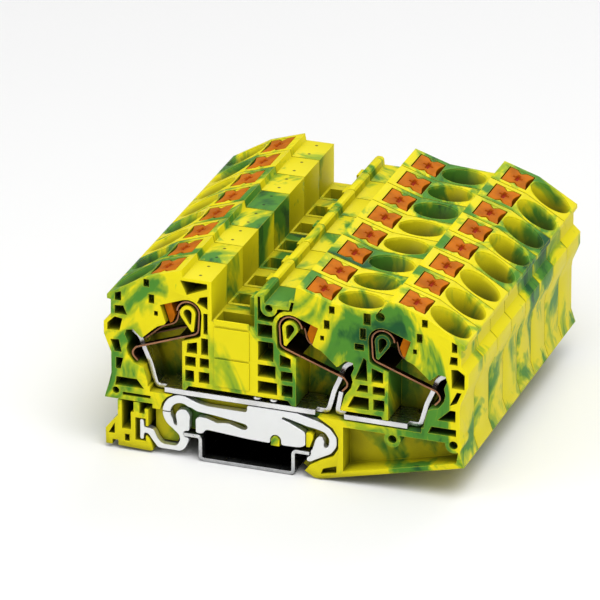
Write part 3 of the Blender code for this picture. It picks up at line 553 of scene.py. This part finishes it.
def button_shells(bank, y):
    """Head: rings of the outline scaled towards its middle, sunk by the recess, then a quarter-round edge,
    the walls, and the underside. Stem: a plate across the block."""
    loop = resampled(button_outline(), 132)
    inside = drawn_in(loop, BUTTON_EDGE)
    scale = np.linspace(0, 1, 25)
    top = inside[None] * scale[:, None, None]
    depth = recess(top[..., 0], top[..., 1])
    crown = CROWN * (1 - scale ** 2)[:, None]
    rows = [np.concatenate([top, (crown - RECESS_DEPTH * depth)[..., None]], axis=-1)]
    rings = [(drawn_in(loop, BUTTON_EDGE * (1 - math.sin(a))), BUTTON_EDGE * (math.cos(a) - 1))
             for a in np.linspace(0, math.pi / 2, 4)[1:]]
    for ring, level in rings + [(loop, -HEAD_DEPTH), (loop * 0, -HEAD_DEPTH)]:
        rows.append(np.concatenate([ring, np.full((len(ring), 1), level)], axis=1)[None])
    local = np.concatenate(rows)
    # Painted shade on the head's top: the depth of the recess, and a soft dark patch round its middle; none
    # elsewhere.
    shaded_pit = np.zeros(local.shape[:2])
    centre_shade = 0.6 * np.exp(-((top[..., 0] / 1.5) ** 2 + (top[..., 1] / 1.9) ** 2))
    shaded_pit[: len(scale)] = np.maximum(depth, centre_shade)
    head = (seated(bank, y, local.reshape(-1, 3)), grid_faces(len(local), local.shape[1]))
    stem_outline = rounded_outline(STEM, 0.25)
    stem_points, stem_faces = plate(stem_outline, -BUTTON_HALF_WIDTH, BUTTON_HALF_WIDTH, STEM_EDGE)
    stem = (seated(bank, y, stem_points), stem_faces)
    return [head, stem], np.concatenate([shaded_pit.ravel(), np.zeros(len(stem_points))])


def spring_shells(bank, y, edge):
    """Still part of a spring: hooked end, two rails beside the window, and the loop up to its top."""
    y0, y1 = y + SPRING_SPAN[0], y + SPRING_SPAN[1]
    leg_top, leg_foot = np.array(SPRING_LEG)
    window = [leg_top + (leg_foot - leg_top) * share for share in WINDOW_ENDS]
    hook = rounded_path([*HOOK_PATH, window[0]], 0.8)
    rest = [window[1], leg_foot, (-2.8, -5.1)] + list(arc((0, 0), LOOP_RADIUS, 184, 90, 30))
    loop = rounded_path(rest, 0.9)
    overlap = (leg_top - leg_foot) * 0.01
    rail = np.linspace(window[0] + overlap, window[1] - overlap, 6)
    shells = [ribbon(placed(bank, part), y0, y1, STRIP, edge) for part in (hook, loop)]
    shells.append(ribbon(placed(bank, rail), y0, y0 + WINDOW_RAIL, STRIP, edge))
    shells.append(ribbon(placed(bank, rail), y1 - WINDOW_RAIL, y1, STRIP, edge))
    return shells


def arm_shells(bank, y, edge):
    """Moving part of a spring: from the loop's top round to its side, then the narrower leg that clamps."""
    path = rounded_path(list(arc((0, 0), LOOP_RADIUS, 90, 2, 30)) + ARM_PATH, 0.7)
    narrowed = np.clip((0.2 - path[:, 1]) / 0.5, 0, 1) * (path[:, 0] > 0)
    inset = LEG_SPAN[0] - SPRING_SPAN[0]
    y0 = y + SPRING_SPAN[0] + inset * narrowed
    y1 = y + SPRING_SPAN[1] - (SPRING_SPAN[1] - LEG_SPAN[1]) * narrowed
    return [ribbon(placed(bank, path), y0, y1, STRIP, edge)]


def bar_shells(x0, x1, legs, y, edge):
    """A wide flat bar and the narrower bent strips at its ends."""
    top = DECK + BAR_HEIGHT
    outline = rounded_outline([(x0, DECK), (x1, DECK), (x1, top), (x0, top)], 0.2)
    shells = [plate(outline, y + SPRING_SPAN[0], y + SPRING_SPAN[1], edge)]
    for bank, path in legs:
        way = placed(bank, rounded_path(path, 0.9))
        shells.append(ribbon(way, y + LEG_SPAN[0], y + LEG_SPAN[1], BAR_LEG, edge))
    return shells


def earth_foot_outline():
    """The stamped foot: sprung loop, upper arm, right hook, notch for the peg, lower arm on the rail."""
    left, right = -RAIL_HALF, RAIL_HALF
    loop = arc(LOOP_CENTRE, LOOP_OUTER, 178.4, 80, 20)
    upper = [(left + 3.4, 16.6), (left + 6.5, 16.05), (-0.4, 16.0), (0.0, 16.4), (0.0, 18.0), (13.6, 18.0)]
    hook = [(3.0, 16.3), (5.6, 15.0), (7.5, 12.6), (7.5, 10.0), (6.0, 7.7), (3.0, 6.1), (0.0, 4.4),
            (-0.9, 4.8)]
    under_lip = [(-0.7, 5.8), (0.3, 6.2), (0.3, 7.8), (0.7, 8.0)]
    finger = [(1.6, 11.2), (2.5, 12.3), (3.6, 12.1), (4.1, 10.9), (3.8, 9.6), (4.5, 9.0), (5.3, 9.8)]
    inner = [(5.5, 11.8), (4.3, 13.6), (2.2, 14.2), (-0.6, 14.6)]
    slot = [(12.0, 15.9), (10.0, 16.3), (9.7, 15.6), (12.0, 14.8), (right - 1.2, 12.7), (right - 1.2, 8.9)]
    notch = [(14.6, 8.1), (9.5, 8.0), (9.5, 9.7), (8.7, 10.7), (7.3, 10.7), (6.5, 9.7)]
    belly = [(6.5, 8.1), (0.0, 8.3), (left + 6.0, 9.2), (left + 5.0, 7.8), (left + 3.1, 7.8)]
    wave = [(left + 3.1, 11.8), (left + 3.8, 12.5), (left + 5.5, 12.6), (-10.5, 12.2), (-8.5, 11.5)]
    mouth = [(-5.5, 12.0), (-1.2, 10.7), (-0.2, 10.9), (0.2, 11.6), (-0.2, 12.4), (-3.0, 12.9), (-9.0, 13.7)]
    lip = [(left + 3.4, 14.1), (left + 2.0, 14.9)]
    loop_inner = arc(LOOP_CENTRE, LOOP_INNER, 50, 177.1, 16)
    shifted = [(right + x, z) for x, z in hook + under_lip + finger + inner]
    return rounded_outline(list(loop) + upper + shifted + slot + notch + belly + wave + mouth + lip
                           + list(loop_inner), 0.7)


def latch_outline():
    """The sprung loop's moving end: half the ring, the finger, the hook under the lip and the head."""
    left = -RAIL_HALF
    ring = arc(LOOP_CENTRE, LOOP_OUTER, 181.6, 240, 14)
    finger = arc((left - 0.5, LOOP_CENTRE[1] - 0.8), 2.0, -20, 200, 14)
    inner = arc(LOOP_CENTRE, LOOP_INNER, 215, 182.9, 8)
    low = [
        (-1.5, 6.4), (-1.3, 5.0), (-2.0, 3.6), (-2.7, 3.1), (-6.4, 3.1), (-7.7, 4.6), (-8.6, 6.6),
        (-10.0, 7.2), (-11.5, 7.2), (-11.5, 9.4), (-12.6, 9.4), (-12.6, 3.6), (-11.6, 3.6), (-11.5, 5.6),
        (-10.3, 5.5), (-9.4, 4.2), (-7.7, 2.0), (-6.8, 1.8), (-1.2, 1.8), (0.1, 2.8), (1.1, 5.2), (1.1, 6.0),
        (-0.3, 6.2), (-0.3, 7.8), (1.3, 8.0),
    ]
    neck = [(-2.1, 9.5), (-2.5, 8.9), (-3.1, 9.6)]
    low, neck = ([(left + x, z) for x, z in part] for part in (low, neck))
    return rounded_outline(list(ring) + low + list(finger) + neck + list(inner), 0.6)


def rivet_shell(node):
    """A domed head: rings of radius R sin(a) at height H cos(a), on a short straight side."""
    low, high = (np.array(corner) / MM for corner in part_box(node))
    radius, height = (high[0] - low[0]) / 2, high[2] - low[2]
    a = np.linspace(0, math.pi / 2, 9)[:, None]
    q = np.linspace(0, 2 * math.pi, 32, endpoint=False)[None]
    ring = radius * np.sin(a)
    level = low[2] + RIVET_SIDE + (height - RIVET_SIDE) * np.cos(a)
    dome = np.stack([ring * np.cos(q), ring * np.sin(q), level + 0 * q], -1)
    foot = np.stack([radius * np.cos(q), radius * np.sin(q), low[2] + 0 * q], -1)
    base = foot * (0, 0, 1)
    rows = np.concatenate([dome, foot, base]) + (*((low + high) / 2)[:2], 0)
    return rows.reshape(-1, 3), grid_faces(len(rows), rows.shape[1])


# ---------------------------------------------------------------- finishes


def add(tree, kind, values=(), **settings):
    """A node of this kind with its settings, and (socket name, value) pairs put on its inputs."""
    node = tree.nodes.new(kind)
    for name, value in settings.items():
        setattr(node, name, value)
    for name, value in values:
        node.inputs[name].default_value = value
    return node


FLOAT, VECTOR, COLOUR = (f"NodeSocket{kind}" for kind in ("Float", "Vector", "Color"))
PLACE = ("Vector", VECTOR, None)
MASK = [("Mask", FLOAT)]


def new_group(name, inputs, outputs=MASK):
    """A shader node group with (name, socket kind, default) inputs and (name, socket kind) outputs."""
    tree = bpy.data.node_groups.new(name, "ShaderNodeTree")
    for label, kind, value in inputs:
        socket = tree.interface.new_socket(name=label, in_out="INPUT", socket_type=kind)
        if value is not None:
            socket.default_value = value
    for label, kind in outputs:
        tree.interface.new_socket(name=label, in_out="OUTPUT", socket_type=kind)
    return tree, tree.nodes.new("NodeGroupInput"), tree.nodes.new("NodeGroupOutput")


def place_group(tree, group, values=()):
    return add(tree, "ShaderNodeGroup", values, node_tree=group)


def feed(tree, socket, value):
    """Links a socket to an output, or puts a plain value on it."""
    if isinstance(value, bpy.types.NodeSocket):
        tree.links.new(value, socket)
    else:
        socket.default_value = value


def noise(tree, place, scale, **values):
    """A noise on this place, with its scale fed by a value or by a socket."""
    node = add(tree, "ShaderNodeTexNoise", values.items())
    tree.links.new(place, node.inputs["Vector"])
    feed(tree, node.inputs["Scale"], scale)
    return node.outputs


def ramp_between(tree, source, low, high):
    """A smooth step of a value from low to high."""
    ends = [("From Min", low), ("From Max", high)]
    step = add(tree, "ShaderNodeMapRange", ends, interpolation_type="SMOOTHSTEP")
    tree.links.new(source, step.inputs["Value"])
    return step.outputs["Result"]


def mixed(tree, factor, first, second):
    """A colour between two, each a socket or a colour."""
    mix = add(tree, "ShaderNodeMix", data_type="RGBA")
    for index, value in ((0, factor), (6, first), (7, second)):
        feed(tree, mix.inputs[index], value)
    return mix.outputs[2]


def calculated(tree, operation, first, second):
    node = add(tree, "ShaderNodeMath", operation=operation)
    for socket, value in zip(node.inputs, (first, second)):
        feed(tree, socket, value)
    return node.outputs[0]


def times(tree, first, second):
    return calculated(tree, "MULTIPLY", first, second)


def grain_group():
    """Fine moulding or rolling grain: a height and a change of roughness, from two sizes of noise."""
    tree, start, end = new_group(
        "fine grain",
        [PLACE, ("Scale", FLOAT, 1500.0), ("Roughness", FLOAT, 0.4), ("Variation", FLOAT, 0.12)],
        [("Height", FLOAT), ("Roughness", FLOAT)],
    )
    place, scale = start.outputs["Vector"], start.outputs["Scale"]
    fine = noise(tree, place, scale, Detail=3.0)[0]
    broad = noise(tree, place, times(tree, scale, 0.12), Detail=2.0)[0]
    spread = calculated(tree, "SUBTRACT", broad, 0.5)
    change = times(tree, spread, start.outputs["Variation"])
    tree.links.new(calculated(tree, "ADD", start.outputs["Roughness"], change), end.inputs["Roughness"])
    tree.links.new(calculated(tree, "ADD", fine, broad), end.inputs["Height"])
    return tree


def edge_group():
    """Where edges are: how far the rounded normal turns from the surface's own."""
    # This mask places the painted edge highlights: edges coloured lighter, as if they caught the light.
    tree, start, end = new_group("painted edge highlights", [("Radius", FLOAT, 0.0003)])
    bevel = add(tree, "ShaderNodeBevel", samples=4)
    geometry = add(tree, "ShaderNodeNewGeometry")
    dot = add(tree, "ShaderNodeVectorMath", operation="DOT_PRODUCT")
    tree.links.new(start.outputs["Radius"], bevel.inputs["Radius"])
    tree.links.new(bevel.outputs["Normal"], dot.inputs[0])
    tree.links.new(geometry.outputs["Normal"], dot.inputs[1])
    tree.links.new(ramp_between(tree, dot.outputs["Value"], 0.99, 0.82), end.inputs["Mask"])
    return tree


def hollow_group():
    """Where hollows are, for painted shade: the share of the surroundings that is closed off nearby."""
    tree, start, end = new_group("painted shade in hollows", [("Distance", FLOAT, 0.006)])
    closed = add(tree, "ShaderNodeAmbientOcclusion", samples=8)
    tree.links.new(start.outputs["Distance"], closed.inputs["Distance"])
    tree.links.new(ramp_between(tree, closed.outputs["AO"], 0.85, 0.15), end.inputs["Mask"])
    return tree


def band(tree, source, low, high, soft):
    """One between low and high, falling off to nothing over soft on either side."""
    rise = ramp_between(tree, source, low - soft, low)
    return times(tree, rise, ramp_between(tree, source, high + soft, high))


def channel_group():
    """The unlit inside of the rail: between its walls, under the blocks, and in from its two ends."""
    tree, start, end = new_group("rail channel", [PLACE])
    split = add(tree, "ShaderNodeSeparateXYZ")
    tree.links.new(start.outputs["Vector"], split.inputs[0])
    inside = band(tree, split.outputs["X"], -12.65 * MM, 12.65 * MM, 0.05 * MM)
    under = band(tree, split.outputs["Z"], 0.6 * MM, 7.9 * MM, 0.2 * MM)
    behind = ramp_between(tree, split.outputs["Y"], (RAIL_FRONT + 0.3) * MM, (RAIL_FRONT + 3.5) * MM)
    before = ramp_between(tree, split.outputs["Y"], (RAIL_BACK - 1.0) * MM, (RAIL_BACK - 16.0) * MM)
    mask = times(tree, times(tree, inside, under), times(tree, behind, before))
    tree.links.new(mask, end.inputs["Mask"])
    return tree


def pin_group():
    """Round marks of the ejector pins on the tower tops, two to a block, by the distance from their axes."""
    tree, start, end = new_group("pin marks", [PLACE, ("Radius", FLOAT, 0.00042)])
    split = add(tree, "ShaderNodeSeparateXYZ")
    tree.links.new(start.outputs["Vector"], split.inputs[0])
    across = calculated(tree, "ADD", split.outputs["X"], PIN_X * -MM)
    along = calculated(tree, "SUBTRACT", split.outputs["Y"], BLOCK_FRONTS[0] * MM)
    step = calculated(tree, "PINGPONG", along, BLOCK_PITCH / 2 * MM)
    near = calculated(tree, "SUBTRACT", step, BLOCK_PITCH / 4 * MM)
    squares = calculated(tree, "ADD", times(tree, across, across), times(tree, near, near))
    distance = calculated(tree, "POWER", squares, 0.5)
    edge = calculated(tree, "SUBTRACT", distance, start.outputs["Radius"])
    mark = ramp_between(tree, edge, 0.12 * MM, -0.12 * MM)
    high = ramp_between(tree, split.outputs["Z"], PIN_LEVEL * MM, (PIN_LEVEL + 0.5) * MM)
    tree.links.new(times(tree, mark, high), end.inputs["Mask"])
    return tree


def marble_group():
    """Marbling of two mixed plastics: noise on a place that coarser noise has pushed about, cut at three
    levels into yellow, lime, green and deep green, with thin flow lines along the streaks."""
    tones = [(tone, COLOUR, None) for tone in ("Yellow", "Lime", "Green", "Deep")]
    inputs = [PLACE, ("Scale", FLOAT, 60.0), ("Amount", FLOAT, 0.0), *tones]
    tree, start, end = new_group("marbled plastic", inputs, [("Color", COLOUR)])
    place, scale = start.outputs["Vector"], start.outputs["Scale"]
    push = noise(tree, place, times(tree, scale, 0.7), Detail=2.0)["Color"]
    spread = add(tree, "ShaderNodeVectorMath", operation="MULTIPLY_ADD")
    for socket, value in zip(spread.inputs, (push, (PUSH,) * 3, place)):
        feed(tree, socket, value)
    place = spread.outputs["Vector"]
    body = noise(tree, place, scale, Detail=4.5, Roughness=0.58, Distortion=0.8)[0]
    line = noise(tree, place, times(tree, scale, 4.0), Detail=4.0, Distortion=2.5)[0]
    lines = times(tree, calculated(tree, "SUBTRACT", line, 0.5), 0.10)
    level = calculated(tree, "ADD", body, lines)
    level = calculated(tree, "ADD", level, start.outputs["Amount"])
    tone = start.outputs["Yellow"]
    for name, low, high in MARBLE_LEVELS:
        tone = mixed(tree, ramp_between(tree, level, low, high), tone, start.outputs[name])
    tree.links.new(tone, end.inputs["Color"])
    return tree


GROUPS = {}


def shared(name, build):
    """A node group that is built once."""
    if name not in GROUPS:
        GROUPS[name] = build()
    return GROUPS[name]


def new_finish(name, offset=(0, 0, 0), stretch=(1, 1, 1)):
    """A material whose pattern reads the object's own coordinates through a Mapping node."""
    material = bpy.data.materials.new(name)
    material.use_nodes = True
    tree = material.node_tree
    where = add(tree, "ShaderNodeTexCoord")
    mapping = add(tree, "ShaderNodeMapping", [("Location", offset), ("Scale", stretch)])
    tree.links.new(where.outputs["Object"], mapping.inputs["Vector"])
    return material, tree, tree.nodes["Principled BSDF"], mapping.outputs["Vector"]


def masked(tree, group):
    """The mask of a group that reads the object's coordinates as they are."""
    where = add(tree, "ShaderNodeTexCoord")
    node = place_group(tree, group)
    tree.links.new(where.outputs["Object"], node.inputs["Vector"])
    return node.outputs["Mask"]


def edge_highlight(tree, radius, share):
    """The edges' mask at this radius, times a share: where the painted edge highlights go."""
    return times(tree, place_group(tree, shared("edges", edge_group), [("Radius", radius)]).outputs[0], share)


def hollow_shade(tree, reach, share):
    """The hollows' mask at this reach, times a share: how much painted shade goes there."""
    group = shared("hollows", hollow_group)
    return times(tree, place_group(tree, group, [("Distance", reach)]).outputs[0], share)


def set_grain(tree, shader, place, scale, roughness, variation, strength):
    """Bump and roughness from the shared grain."""
    grain = place_group(tree, shared("grain", grain_group),
                        [("Scale", scale), ("Roughness", roughness), ("Variation", variation)])
    tree.links.new(place, grain.inputs["Vector"])
    tree.links.new(grain.outputs["Roughness"], shader.inputs["Roughness"])
    bump = add(tree, "ShaderNodeBump", [("Strength", strength), ("Distance", 0.00006)])
    tree.links.new(grain.outputs["Height"], bump.inputs["Height"])
    tree.links.new(bump.outputs["Normal"], shader.inputs["Normal"])


def marbled_plastic(index, looks):
    """The housing plastic of one block, with its own piece of the marbling."""
    random = np.random.default_rng(40 + index)
    offset = tuple(float(v) for v in random.uniform(-1, 1, 3))
    material, tree, shader, place = new_finish(f"green_yellow_{index}", offset, (1.0, 0.8, 0.55))
    tones = {name: (*getattr(looks, name.lower()), 1) for name in ("Yellow", "Lime", "Green", "Deep")}
    marble = place_group(tree, shared("marble", marble_group), [
        ("Scale", looks.streak), ("Amount", float(random.uniform(-0.03, 0.02))), *tones.items()])
    tree.links.new(place, marble.inputs["Vector"])
    # Painted shade in the hollows, at a near and a wide reach, mixed towards the dark shade tone.
    tight, wide = hollow_shade(tree, 0.009, 0.95), hollow_shade(tree, 0.035, 0.55)
    dark = mixed(tree, 0.93, marble.outputs["Color"], SHADED)
    shaded_in_hollows = mixed(tree, calculated(tree, "MAXIMUM", tight, wide), marble.outputs["Color"], dark)
    # Painted highlight on the edges, then painted shade down the funnels from the per-point values.
    shaded_pit = add(tree, "ShaderNodeAttribute", attribute_name="shaded_pit")
    deep = times(tree, shaded_pit.outputs["Fac"], 0.85)
    lit = mixed(tree, deep, mixed(tree, edge_highlight(tree, 0.00035, 0.35), shaded_in_hollows, EDGE_HIGHLIGHT_YELLOW), FUNNEL_SHADED)
    # Dark ejector pin marks, and painted shade inside the rail channel and under the blocks.
    pins = times(tree, masked(tree, shared("pins", pin_group)), 0.85)
    pin_marks_and_shade = calculated(tree, "MAXIMUM", pins, masked(tree, shared("channel", channel_group)))
    tree.links.new(mixed(tree, pin_marks_and_shade, lit, PIN_MARK_AND_SHADE_PLASTIC), shader.inputs["Base Color"])
    shader.inputs["Specular IOR Level"].default_value = 0.12
    set_grain(tree, shader, place, scale=2200.0, roughness=0.46, variation=0.14, strength=0.12)
    return material


def orange_plastic(looks):
    material, tree, shader, place = new_finish("orange_plastic")
    clouds = noise(tree, place, 240.0, Detail=3.0)[0]
    deeper = tuple(v * 0.72 for v in looks.orange)
    base = mixed(tree, ramp_between(tree, clouds, 0.35, 0.7), (*looks.orange, 1), (*deeper, 1))
    # Painted shade: darker red in the recess and round the middle of the top, from the per-point values.
    shaded_pit = add(tree, "ShaderNodeAttribute", attribute_name="shaded_pit")
    shaded_in_recess = mixed(tree, shaded_pit.outputs["Fac"], base, (*looks.shaded_pit, 1))
    # Painted highlight: lighter orange on the edges.
    tree.links.new(mixed(tree, edge_highlight(tree, 0.0003, 0.3), shaded_in_recess, EDGE_HIGHLIGHT_ORANGE), shader.inputs["Base Color"])
    shader.inputs["Specular IOR Level"].default_value = 0.03
    set_grain(tree, shader, place, scale=2400.0, roughness=0.42, variation=0.12, strength=0.12)
    return material


def sheet_metal(name, tone, roughness, stretch, highlight_tone, stain=0.82, hollow=0.93):
    """Rolled and stamped sheet: fine lines along the rolling, faint stains, edges lightened as a painted
    highlight, and painted shade in hollows and inside the rail channel.
    """
    material, tree, shader, place = new_finish(name, stretch=stretch)
    shader.inputs["Metallic"].default_value = 1.0
    stains = noise(tree, place, 130.0, Detail=4.0)[0]
    duller = tuple(v * stain for v in tone)
    base = mixed(tree, ramp_between(tree, stains, 0.4, 0.66), (*tone, 1), (*duller, 1))
    # Painted highlight: the edges mixed towards a lighter tone.
    highlit = mixed(tree, edge_highlight(tree, 0.00025, 0.6), base, (*highlight_tone, 1))
    # Painted shade: hollows and the inside of the rail channel darkened towards the unlit metal tone.
    shade = hollow_shade(tree, 0.014, hollow)
    unlit = calculated(tree, "MAXIMUM", shade, masked(tree, shared("channel", channel_group)))
    tree.links.new(mixed(tree, unlit, highlit, UNLIT_METAL), shader.inputs["Base Color"])
    set_grain(tree, shader, place, scale=1300.0, roughness=roughness, variation=0.2, strength=0.22)
    return material


def dress(piece, material, slot, body, *nodes):
    """Gives a piece its finish, the body it rides on and the nodes it stands for. The slot argument is not
    used.
    """
    piece.data.materials.clear()
    piece.data.materials.append(material)
    if body:
        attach(piece, body)
    if nodes:
        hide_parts(*nodes)
    return piece


# ---------------------------------------------------------------- operators


class Builder(bpy.types.Operator):
    bl_options = {"REGISTER", "UNDO"}


class TERMINALROW_OT_housings(Builder):
    """Moulds the eight housings and release feet"""

    bl_idname = "terminalrow.housings"
    bl_label = "Housings and feet"

    def execute(self, context):
        looks = context.scene.terminalrow_plastic
        for i in range(1, BLOCKS + 1):
            material = marbled_plastic(i, looks)
            for node, body in ((f"housing_{i}", ROW), (f"release_foot_{i}", f"foot_{i}")):
                dress(moulded_copy(node, looks.edge), material, "green_yellow_plastic", body, node)
        return {"FINISHED"}


class TERMINALROW_OT_funnels(Builder):
    """Lines the wire funnels of each block"""

    bl_idname = "terminalrow.funnels"
    bl_label = "Wire funnels"

    def execute(self, context):
        for i, y in enumerate(BLOCK_FRONTS, 1):
            linings = [funnel_lining(bank, y, i == 1) for bank in BANKS]
            teeth = [tooth for bank in BANKS for tooth in notch_teeth(bank, y)]
            # Painted shade for the linings; none on the teeth.
            dark = [lining[2] for lining in linings] + [np.zeros(len(points)) for points, _ in teeth]
            shells = [lining[:2] for lining in linings] + teeth
            piece = piece_from(f"wire_funnels_{i}", shells, np.concatenate(dark))
            dress(piece, bpy.data.materials[f"green_yellow_{i}"], "green_yellow_plastic", ROW)
        panels = piece_from("web_panels", panel_shells(BLOCK_FRONTS[0]))
        dress(panels, bpy.data.materials["green_yellow_1"], "green_yellow_plastic", ROW)
        return {"FINISHED"}


class TERMINALROW_OT_buttons(Builder):
    """Makes the push buttons"""

    bl_idname = "terminalrow.buttons"
    bl_label = "Push buttons"

    def execute(self, context):
        material = orange_plastic(context.scene.terminalrow_plastic)
        for i, y in enumerate(BLOCK_FRONTS, 1):
            for bank in BANKS:
                node = f"button_{bank}_{i}"
                shells, shaded_pit = button_shells(bank, y)
                dress(piece_from(f"push_{bank}_{i}", shells, shaded_pit), material, "orange_plastic", node, node)
        return {"FINISHED"}


class TERMINALROW_OT_springs(Builder):
    """Bends the three clamping springs"""

    bl_idname = "terminalrow.springs"
    bl_label = "Springs"

    def execute(self, context):
        looks = context.scene.terminalrow_metal
        steel = sheet_metal("spring_steel", looks.spring, 0.34, (1, 3, 1), (0.62, 0.50, 0.42), stain=0.6)
        y = BLOCK_FRONTS[0]
        for bank in BANKS:
            spring = piece_from(f"coil_{bank}", spring_shells(bank, y, looks.edge / MM))
            dress(spring, steel, "spring_steel", ROW, f"spring_{bank}")
            arm = piece_from(f"arm_{bank}", arm_shells(bank, y, looks.edge / MM))
            dress(arm, steel, "spring_steel", None, f"clamp_leg_{bank}")
            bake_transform(arm)
        return {"FINISHED"}


class TERMINALROW_OT_bars(Builder):
    """Bends the current bars, with the rivets on the long one"""

    bl_idname = "terminalrow.bars"
    bl_label = "Current bars"

    def execute(self, context):
        looks = context.scene.terminalrow_metal
        # The lighter tone is the painted edge highlight, and hollow is the share of painted shade in hollows.
        tin = sheet_metal("tinned_copper", looks.tin, 0.26, (1, 6, 1), (0.97, 0.97, 0.97), hollow=0.5)
        y, edge = BLOCK_FRONTS[0], looks.edge / MM
        long_legs = [("left", LEG_PATH), ("middle", LEG_PATH)]
        short_legs = [("right", LEG_PATH), ("right", FOOT_PATH)]
        for name, ends, legs in (("long", LONG_BAR, long_legs), ("short", SHORT_BAR, short_legs)):
            bar = piece_from(f"bus_{name}", bar_shells(*ends, legs, y, edge))
            dress(bar, tin, "tinned_copper", ROW, f"current_bar_{name}")
        for node in ("bar_rivet_1", "bar_rivet_2"):
            dress(piece_from(node + "_head", [rivet_shell(node)]), tin, "tinned_copper", ROW, node)
        return {"FINISHED"}


class TERMINALROW_OT_earth_foot(Builder):
    """Stamps the earth foot and its latch hook"""

    bl_idname = "terminalrow.earth_foot"
    bl_label = "Earth foot"

    def execute(self, context):
        tin = bpy.data.materials["tinned_copper"]
        edge = context.scene.terminalrow_metal.edge / MM
        y0, y1 = (BLOCK_FRONTS[0] + inset for inset in FOOT_SPAN)
        foot = piece_from("stamped_foot", [plate(earth_foot_outline(), y0, y1, edge)])
        dress(foot, tin, "tinned_copper", ROW, "earth_foot")
        latch = piece_from("stamped_latch", [plate(latch_outline(), y0, y1, edge)])
        dress(latch, tin, "tinned_copper", "foot_1", "latch_hook")
        return {"FINISHED"}


class TERMINALROW_OT_rail(Builder):
    """Rolls the rail"""

    bl_idname = "terminalrow.rail"
    bl_label = "Rail"

    def execute(self, context):
        looks = context.scene.terminalrow_metal
        zinc = sheet_metal("zinced_steel", looks.zinc, 0.3, (8, 1, 8), (0.95, 0.96, 0.97))
        floor = RAIL_THICKNESS / 2
        right = [(CHANNEL_HALF, floor), (CHANNEL_HALF, LIP_LEVEL), (RAIL_HALF, LIP_LEVEL)]
        path = rounded_path([(-x, z) for x, z in right[::-1]] + right, 1.1, 8)
        shell = ribbon(path, RAIL_FRONT, RAIL_BACK, RAIL_THICKNESS, looks.edge / MM)
        dress(piece_from("top_hat_rail", [shell]), zinc, "zinced_steel", ROW, "din_rail")
        return {"FINISHED"}


class TERMINALROW_OT_stage(Builder):
    """Sets the floor, the lights and the camera"""

    bl_idname = "terminalrow.stage"
    bl_label = "Stage"

    def execute(self, context):
        looks = context.scene.terminalrow_stage
        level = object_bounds()[0].z - FLOOR_BELOW
        corners = [(x * FLOOR_HALF, y * FLOOR_HALF, level) for x, y in ((-1, -1), (1, -1), (1, 1), (-1, 1))]
        mesh = bpy.data.meshes.new("floor")
        mesh.from_pydata(corners, [], [(0, 1, 2, 3)])
        floor = linked("floor", mesh)
        material, tree, shader, place = new_finish("pale_floor")
        shader.inputs["Base Color"].default_value = (*looks.floor, 1)
        set_grain(tree, shader, place, scale=400.0, roughness=0.8, variation=0.1, strength=0.02)
        mesh.materials.append(material)
        floor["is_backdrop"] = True
        for name, place, width, share in LIGHTS:
            self.add_light(name, place, width, looks.key * share)
        world = bpy.data.worlds.new("soft sky")
        world.use_nodes = True
        background = world.node_tree.nodes["Background"].inputs
        background["Color"].default_value = (1, 1, 1, 1)
        background["Strength"].default_value = looks.sky
        context.scene.world = world
        context.scene.view_settings.view_transform = "Standard"
        self.add_camera(looks)
        return {"FINISHED"}

    def add_light(self, name, place, width, power):
        light = bpy.data.lights.new(name, "AREA")
        light.size = width
        light.energy = power
        lamp = linked(name, light)
        lamp.location = place
        lamp.rotation_euler = (-Vector(place)).to_track_quat("-Z", "Y").to_euler()

    def add_camera(self, looks):
        a, e = looks.azimuth, looks.elevation
        back = Vector((math.sin(a) * math.cos(e), -math.cos(a) * math.cos(e), math.sin(e)))
        right = Vector((math.cos(a), math.sin(a), 0.0))
        up = back.cross(right)
        front_foot = Vector((0.0, RAIL_FRONT * MM, 0.0))
        across, above = (share * looks.field for share in PICTURE_CENTRE)
        target = front_foot + right * across + up * above
        camera = bpy.data.cameras.new("camera")
        camera.lens = looks.lens
        camera.sensor_width = SENSOR_WIDTH
        distance = looks.field * looks.lens / camera.sensor_width
        camera.clip_start, camera.clip_end = 0.1, 20.0
        holder = linked("camera", camera)
        holder.location = target + back * distance
        holder.rotation_euler = (-back).to_track_quat("-Z", "Y").to_euler()
        bpy.context.scene.camera = holder


OPERATORS = (
    TERMINALROW_OT_housings,
    TERMINALROW_OT_funnels,
    TERMINALROW_OT_buttons,
    TERMINALROW_OT_springs,
    TERMINALROW_OT_bars,
    TERMINALROW_OT_earth_foot,
    TERMINALROW_OT_rail,
    TERMINALROW_OT_stage,
)


class TERMINALROW_PT_panel(bpy.types.Panel):
    """Lists the pieces and their settings"""

    bl_idname = "TERMINALROW_PT_panel"
    bl_label = "Terminal row"
    bl_space_type = "VIEW_3D"
    bl_region_type = "UI"
    bl_category = "Terminal row"

    def draw(self, context):
        for operator in OPERATORS:
            self.layout.operator(operator.bl_idname)
        for settings in SETTINGS:
            group = getattr(context.scene, settings)
            for name in group.bl_rna.properties.keys():
                if name not in ("rna_type", "name"):
                    self.layout.prop(group, name)


SETTINGS = {
    "terminalrow_plastic": TERMINALROW_PG_plastic,
    "terminalrow_metal": TERMINALROW_PG_metal,
    "terminalrow_stage": TERMINALROW_PG_stage,
}
CLASSES = (*SETTINGS.values(), *OPERATORS, TERMINALROW_PT_panel)


def register():
    for cls in CLASSES:
        bpy.utils.register_class(cls)
    for name, group in SETTINGS.items():
        setattr(bpy.types.Scene, name, bpy.props.PointerProperty(type=group))


def unregister():
    for name in SETTINGS:
        delattr(bpy.types.Scene, name)
    for cls in reversed(CLASSES):
        bpy.utils.unregister_class(cls)


def main():
    register()
    for operator in OPERATORS:
        getattr(bpy.ops.terminalrow, operator.bl_idname.split(".")[1])()


if __name__ == "__main__":
    main()
